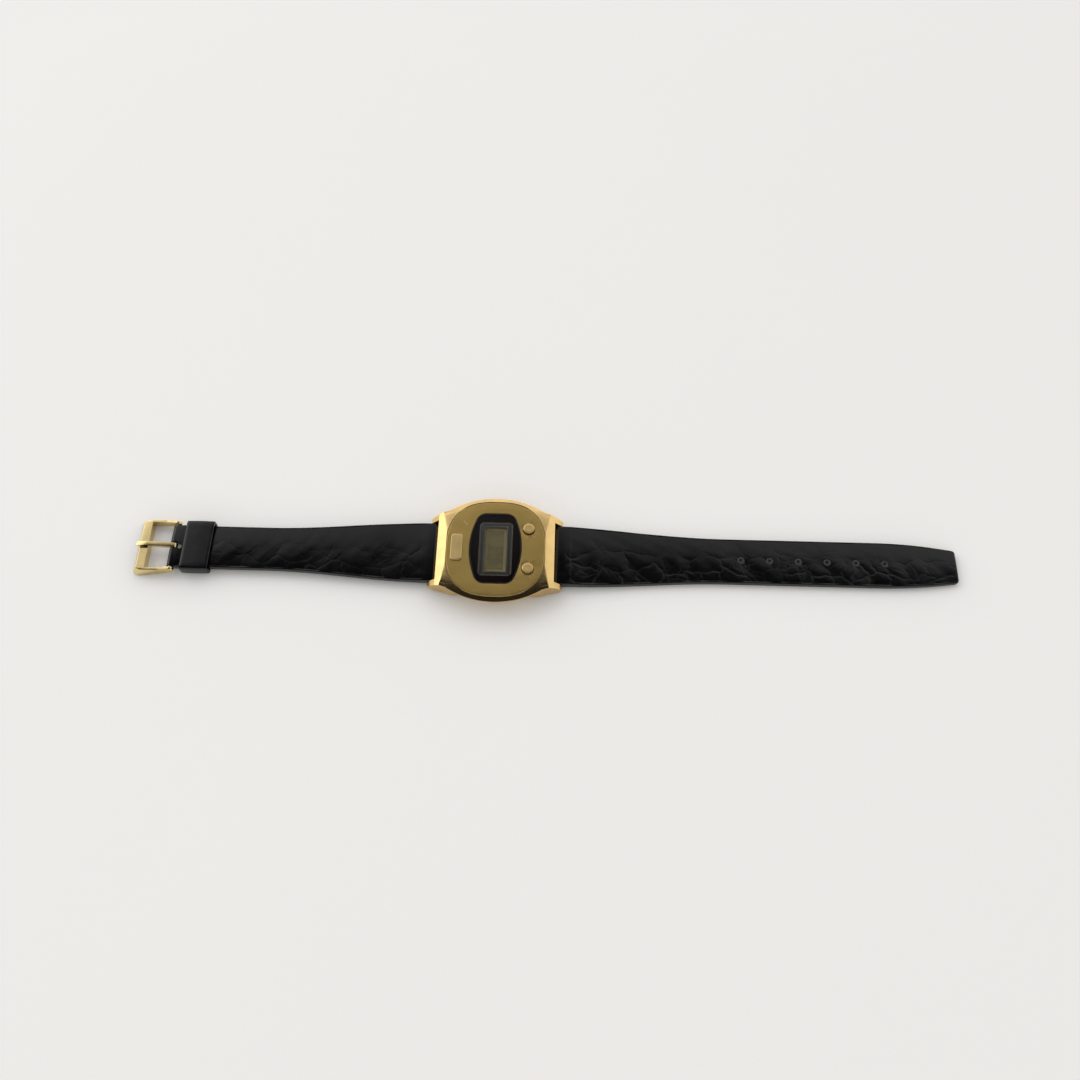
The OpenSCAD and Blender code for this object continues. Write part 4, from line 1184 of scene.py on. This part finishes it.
class WATCH_OT_strap(bpy.types.Operator):
    """Makes the two halves of the strap, with the scales of the outer leather"""

    bl_idname = "watch.strap"
    bl_label = "Strap"

    def leather(self, half, which, cutters):
        """The outer leather of one half, with its bores and holes."""
        name = which + "_leather"
        mesh = cut(half.build(name), cutters, name)
        half.mark_creases(mesh)
        finish_piece(name, mesh, which + "_strap", [which + "_strap_upper"], "leather_black", 50)

    def execute(self, context):
        sizes = strap_mm()
        bar_bore, pin_bore = 0.8, 0.65  # radii, in millimetres
        bar = bar_cutter(-BAR_X, BAR_Z, bar_bore, "bar_bore")
        pin = bar_cutter(PIN_X, PIN_Z, pin_bore, "pin_bore")
        slot_half, slot_depth = 1.0, 2.4  # half its width, and how far it reaches past the pin
        slot = block((PIN_X - 4, -slot_half, -1), (PIN_X + slot_depth, slot_half, 8), "tongue_slot")
        self.leather(StrapHalf(sizes, False), "short", [bar, pin, slot])
        bar = bar_cutter(BAR_X, BAR_Z, bar_bore, "bar_bore")
        radius, places = sizes.hole_radius, hole_places(sizes)
        holes = [turned([(radius, -1), (radius, 6)], x, 0, "hole_bore", 40) for x in places]
        self.leather(StrapHalf(sizes, True), "long", [bar, *holes])
        rim, inset, height = 0.42, 0.3, 1.5  # a rim's own radius, how far it stands in, and its middle's height
        inputs = {
            "Count": sizes.hole_count, "Pitch": -sizes.hole_pitch * MM, "Radius": (radius - inset) * MM,
            "Rim": rim * MM, "Place": (places[0] * MM, 0.0, height * MM), "Material": FINISHES["worn_leather"],
        }
        rims = grown_mesh(rim_tree(inputs), inputs, "hole_rims")
        finish_piece("hole_rims", rims, "long_strap", [], "leather_black", 60, "worn_leather")
        return {"FINISHED"}


class WATCH_OT_keeper(bpy.types.Operator):
    """Makes the glossy keeper loop"""

    bl_idname = "watch.keeper"
    bl_label = "Keeper"

    def outline(self, half_width, low, high, radius):
        """Points round a rounded rectangle, evenly numbered, in y and z."""
        corner_points, side_steps = 9, 10
        # each corner's side of y and z, the angle that it starts at, and the way that the side after it runs
        corners = ((1, 1, 0, -1, 0), (-1, 1, 90, 0, -1), (-1, -1, 180, 1, 0), (1, -1, 270, 0, 1))
        points = []
        for cy, cz, first, dy, dz in corners:
            for degrees in np.linspace(first, first + 90, corner_points):
                t = math.radians(degrees)
                y = cy * (half_width - radius) + radius * math.cos(t)
                z = (high - radius if cz > 0 else low + radius) + radius * math.sin(t)
                points.append((y, z))
            y, z = points[-1]
            for i in range(1, side_steps):
                f = i / side_steps
                points.append((y + dy * 2 * (half_width - radius) * f, z + dz * (high - low - 2 * radius) * f))
        return np.array(points)

    def section(self, length):
        """Points round the band's section: place along X, whether on the outside, and how far they stand out."""
        edge, bulge, chamfer, lip = 0.2, 0.1, 0.1, 0.12  # rounded outer edges, and sloping inner ones
        top = [(x, True, -bulge * ((x / length - 0.5) * 2) ** 2) for x in np.linspace(edge, length - edge, 13)]
        arc = np.linspace(0, math.pi / 2, 5)[1:]
        corner = [(edge * math.sin(t), -bulge - edge * (1 - math.cos(t))) for t in arc]
        far = [(length - edge + x, True, lift) for x, lift in corner]
        near = [(edge - x, True, lift) for x, lift in reversed(corner)]
        inside = [(length, False, lip), (length - chamfer, False, 0.0), (chamfer, False, 0.0), (0.0, False, lip)]
        return [*top, *far, *inside, *near]

    def execute(self, context):
        low, high = cad_mm("keeper_loop")
        wall, side = 0.7, 0.9  # thickness of the leather above and below, and beside
        outer_corner, inner_corner = 0.95, 0.35  # radii
        outer = self.outline(high[1], low[2], high[2], outer_corner)
        inner = self.outline(high[1] - side, low[2] + wall, high[2] - wall, inner_corner)
        section = self.section(high[0] - low[0])
        rings = []
        for o, i in zip(outer, inner):
            out = (o - i) / np.linalg.norm(o - i)
            rings.append([(low[0] + x, *((o if outside else i) + out * lift)) for x, outside, lift in section])
        rings.append(rings[0])
        mesh = loft(np.array(rings), "keeper", closed_ends=False)
        finish_piece("keeper_band", mesh, "keeper", ["keeper_loop"], "leather_black", 60, "keeper_leather")
        return {"FINISHED"}


class WATCH_OT_buckle(bpy.types.Operator):
    """Makes the pale gold buckle and its tongue"""

    bl_idname = "watch.buckle"
    bl_label = "Buckle"

    def execute(self, context):
        eyes = 5.5  # the frame's eyes for the pin begin this far from the middle

        def away_from_pin(p):
            return abs(p.y) > eyes or p.x < PIN_X - 2

        buckle = rounded_copy("buckle_frame", 0.14, 3, 14, away_from_pin)
        finish_piece("buckle_ring", buckle, "buckle", ["buckle_frame"], "gold_pale", 28, flat_faces=True)
        tongue = rounded_copy("buckle_tongue", 0.3, 4, 30, lambda p: p.x < PIN_X - 0.6 or p.z > PIN_Z)
        finish_piece("buckle_prong", tongue, "tongue", ["buckle_tongue"], "gold_pale", 40)
        return {"FINISHED"}


class WATCH_OT_inside(bpy.types.Operator):
    """Gives every CAD piece that still shows its own finish"""

    bl_idname = "watch.inside"
    bl_label = "Movement and seals"

    def execute(self, context):
        slots = {part["node"]: part["material_slot"] for part in frame["record"]["subparts"]}
        for name, node in NODES.items():
            if node.hide_render:
                continue
            node.data.materials.clear()
            node.data.materials.append(FINISHES[slots[name]])
        return {"FINISHED"}


class WATCH_PT_panel(bpy.types.Panel):
    """Lists the steps that build the watch"""

    bl_idname = "WATCH_PT_panel"
    bl_label = "Display wristwatch"
    bl_space_type = "VIEW_3D"
    bl_region_type = "UI"
    bl_category = "Wristwatch"

    def draw(self, context):
        for group in settings():
            box = self.layout.box()
            for key in type(group).__annotations__:
                box.prop(group, key)
        for step in STEPS:
            self.layout.operator(step.bl_idname)


STEPS = (
    WATCH_OT_stage, WATCH_OT_case, WATCH_OT_face, WATCH_OT_buttons, WATCH_OT_strap, WATCH_OT_keeper,
    WATCH_OT_buckle, WATCH_OT_inside,
)
CLASSES = (StrapSizes, FinishColours, StageSettings, *STEPS, WATCH_PT_panel)


def register():
    for cls in CLASSES:
        bpy.utils.register_class(cls)
    bpy.types.Scene.watch_strap = PointerProperty(type=StrapSizes)
    bpy.types.Scene.watch_colours = PointerProperty(type=FinishColours)
    bpy.types.Scene.watch_stage = PointerProperty(type=StageSettings)


def unregister():
    for name in ("watch_strap", "watch_colours", "watch_stage"):
        delattr(bpy.types.Scene, name)
    for cls in reversed(CLASSES):
        bpy.utils.unregister_class(cls)


def main():
    """Builds the watch."""
    register()
    FINISHES.update(make_materials(settings()[1]))
    for step in STEPS:
        group, name = step.bl_idname.split(".")
        getattr(getattr(bpy.ops, group), name)()
    bpy.context.view_layer.update()


if __name__ == "__main__":
    main()
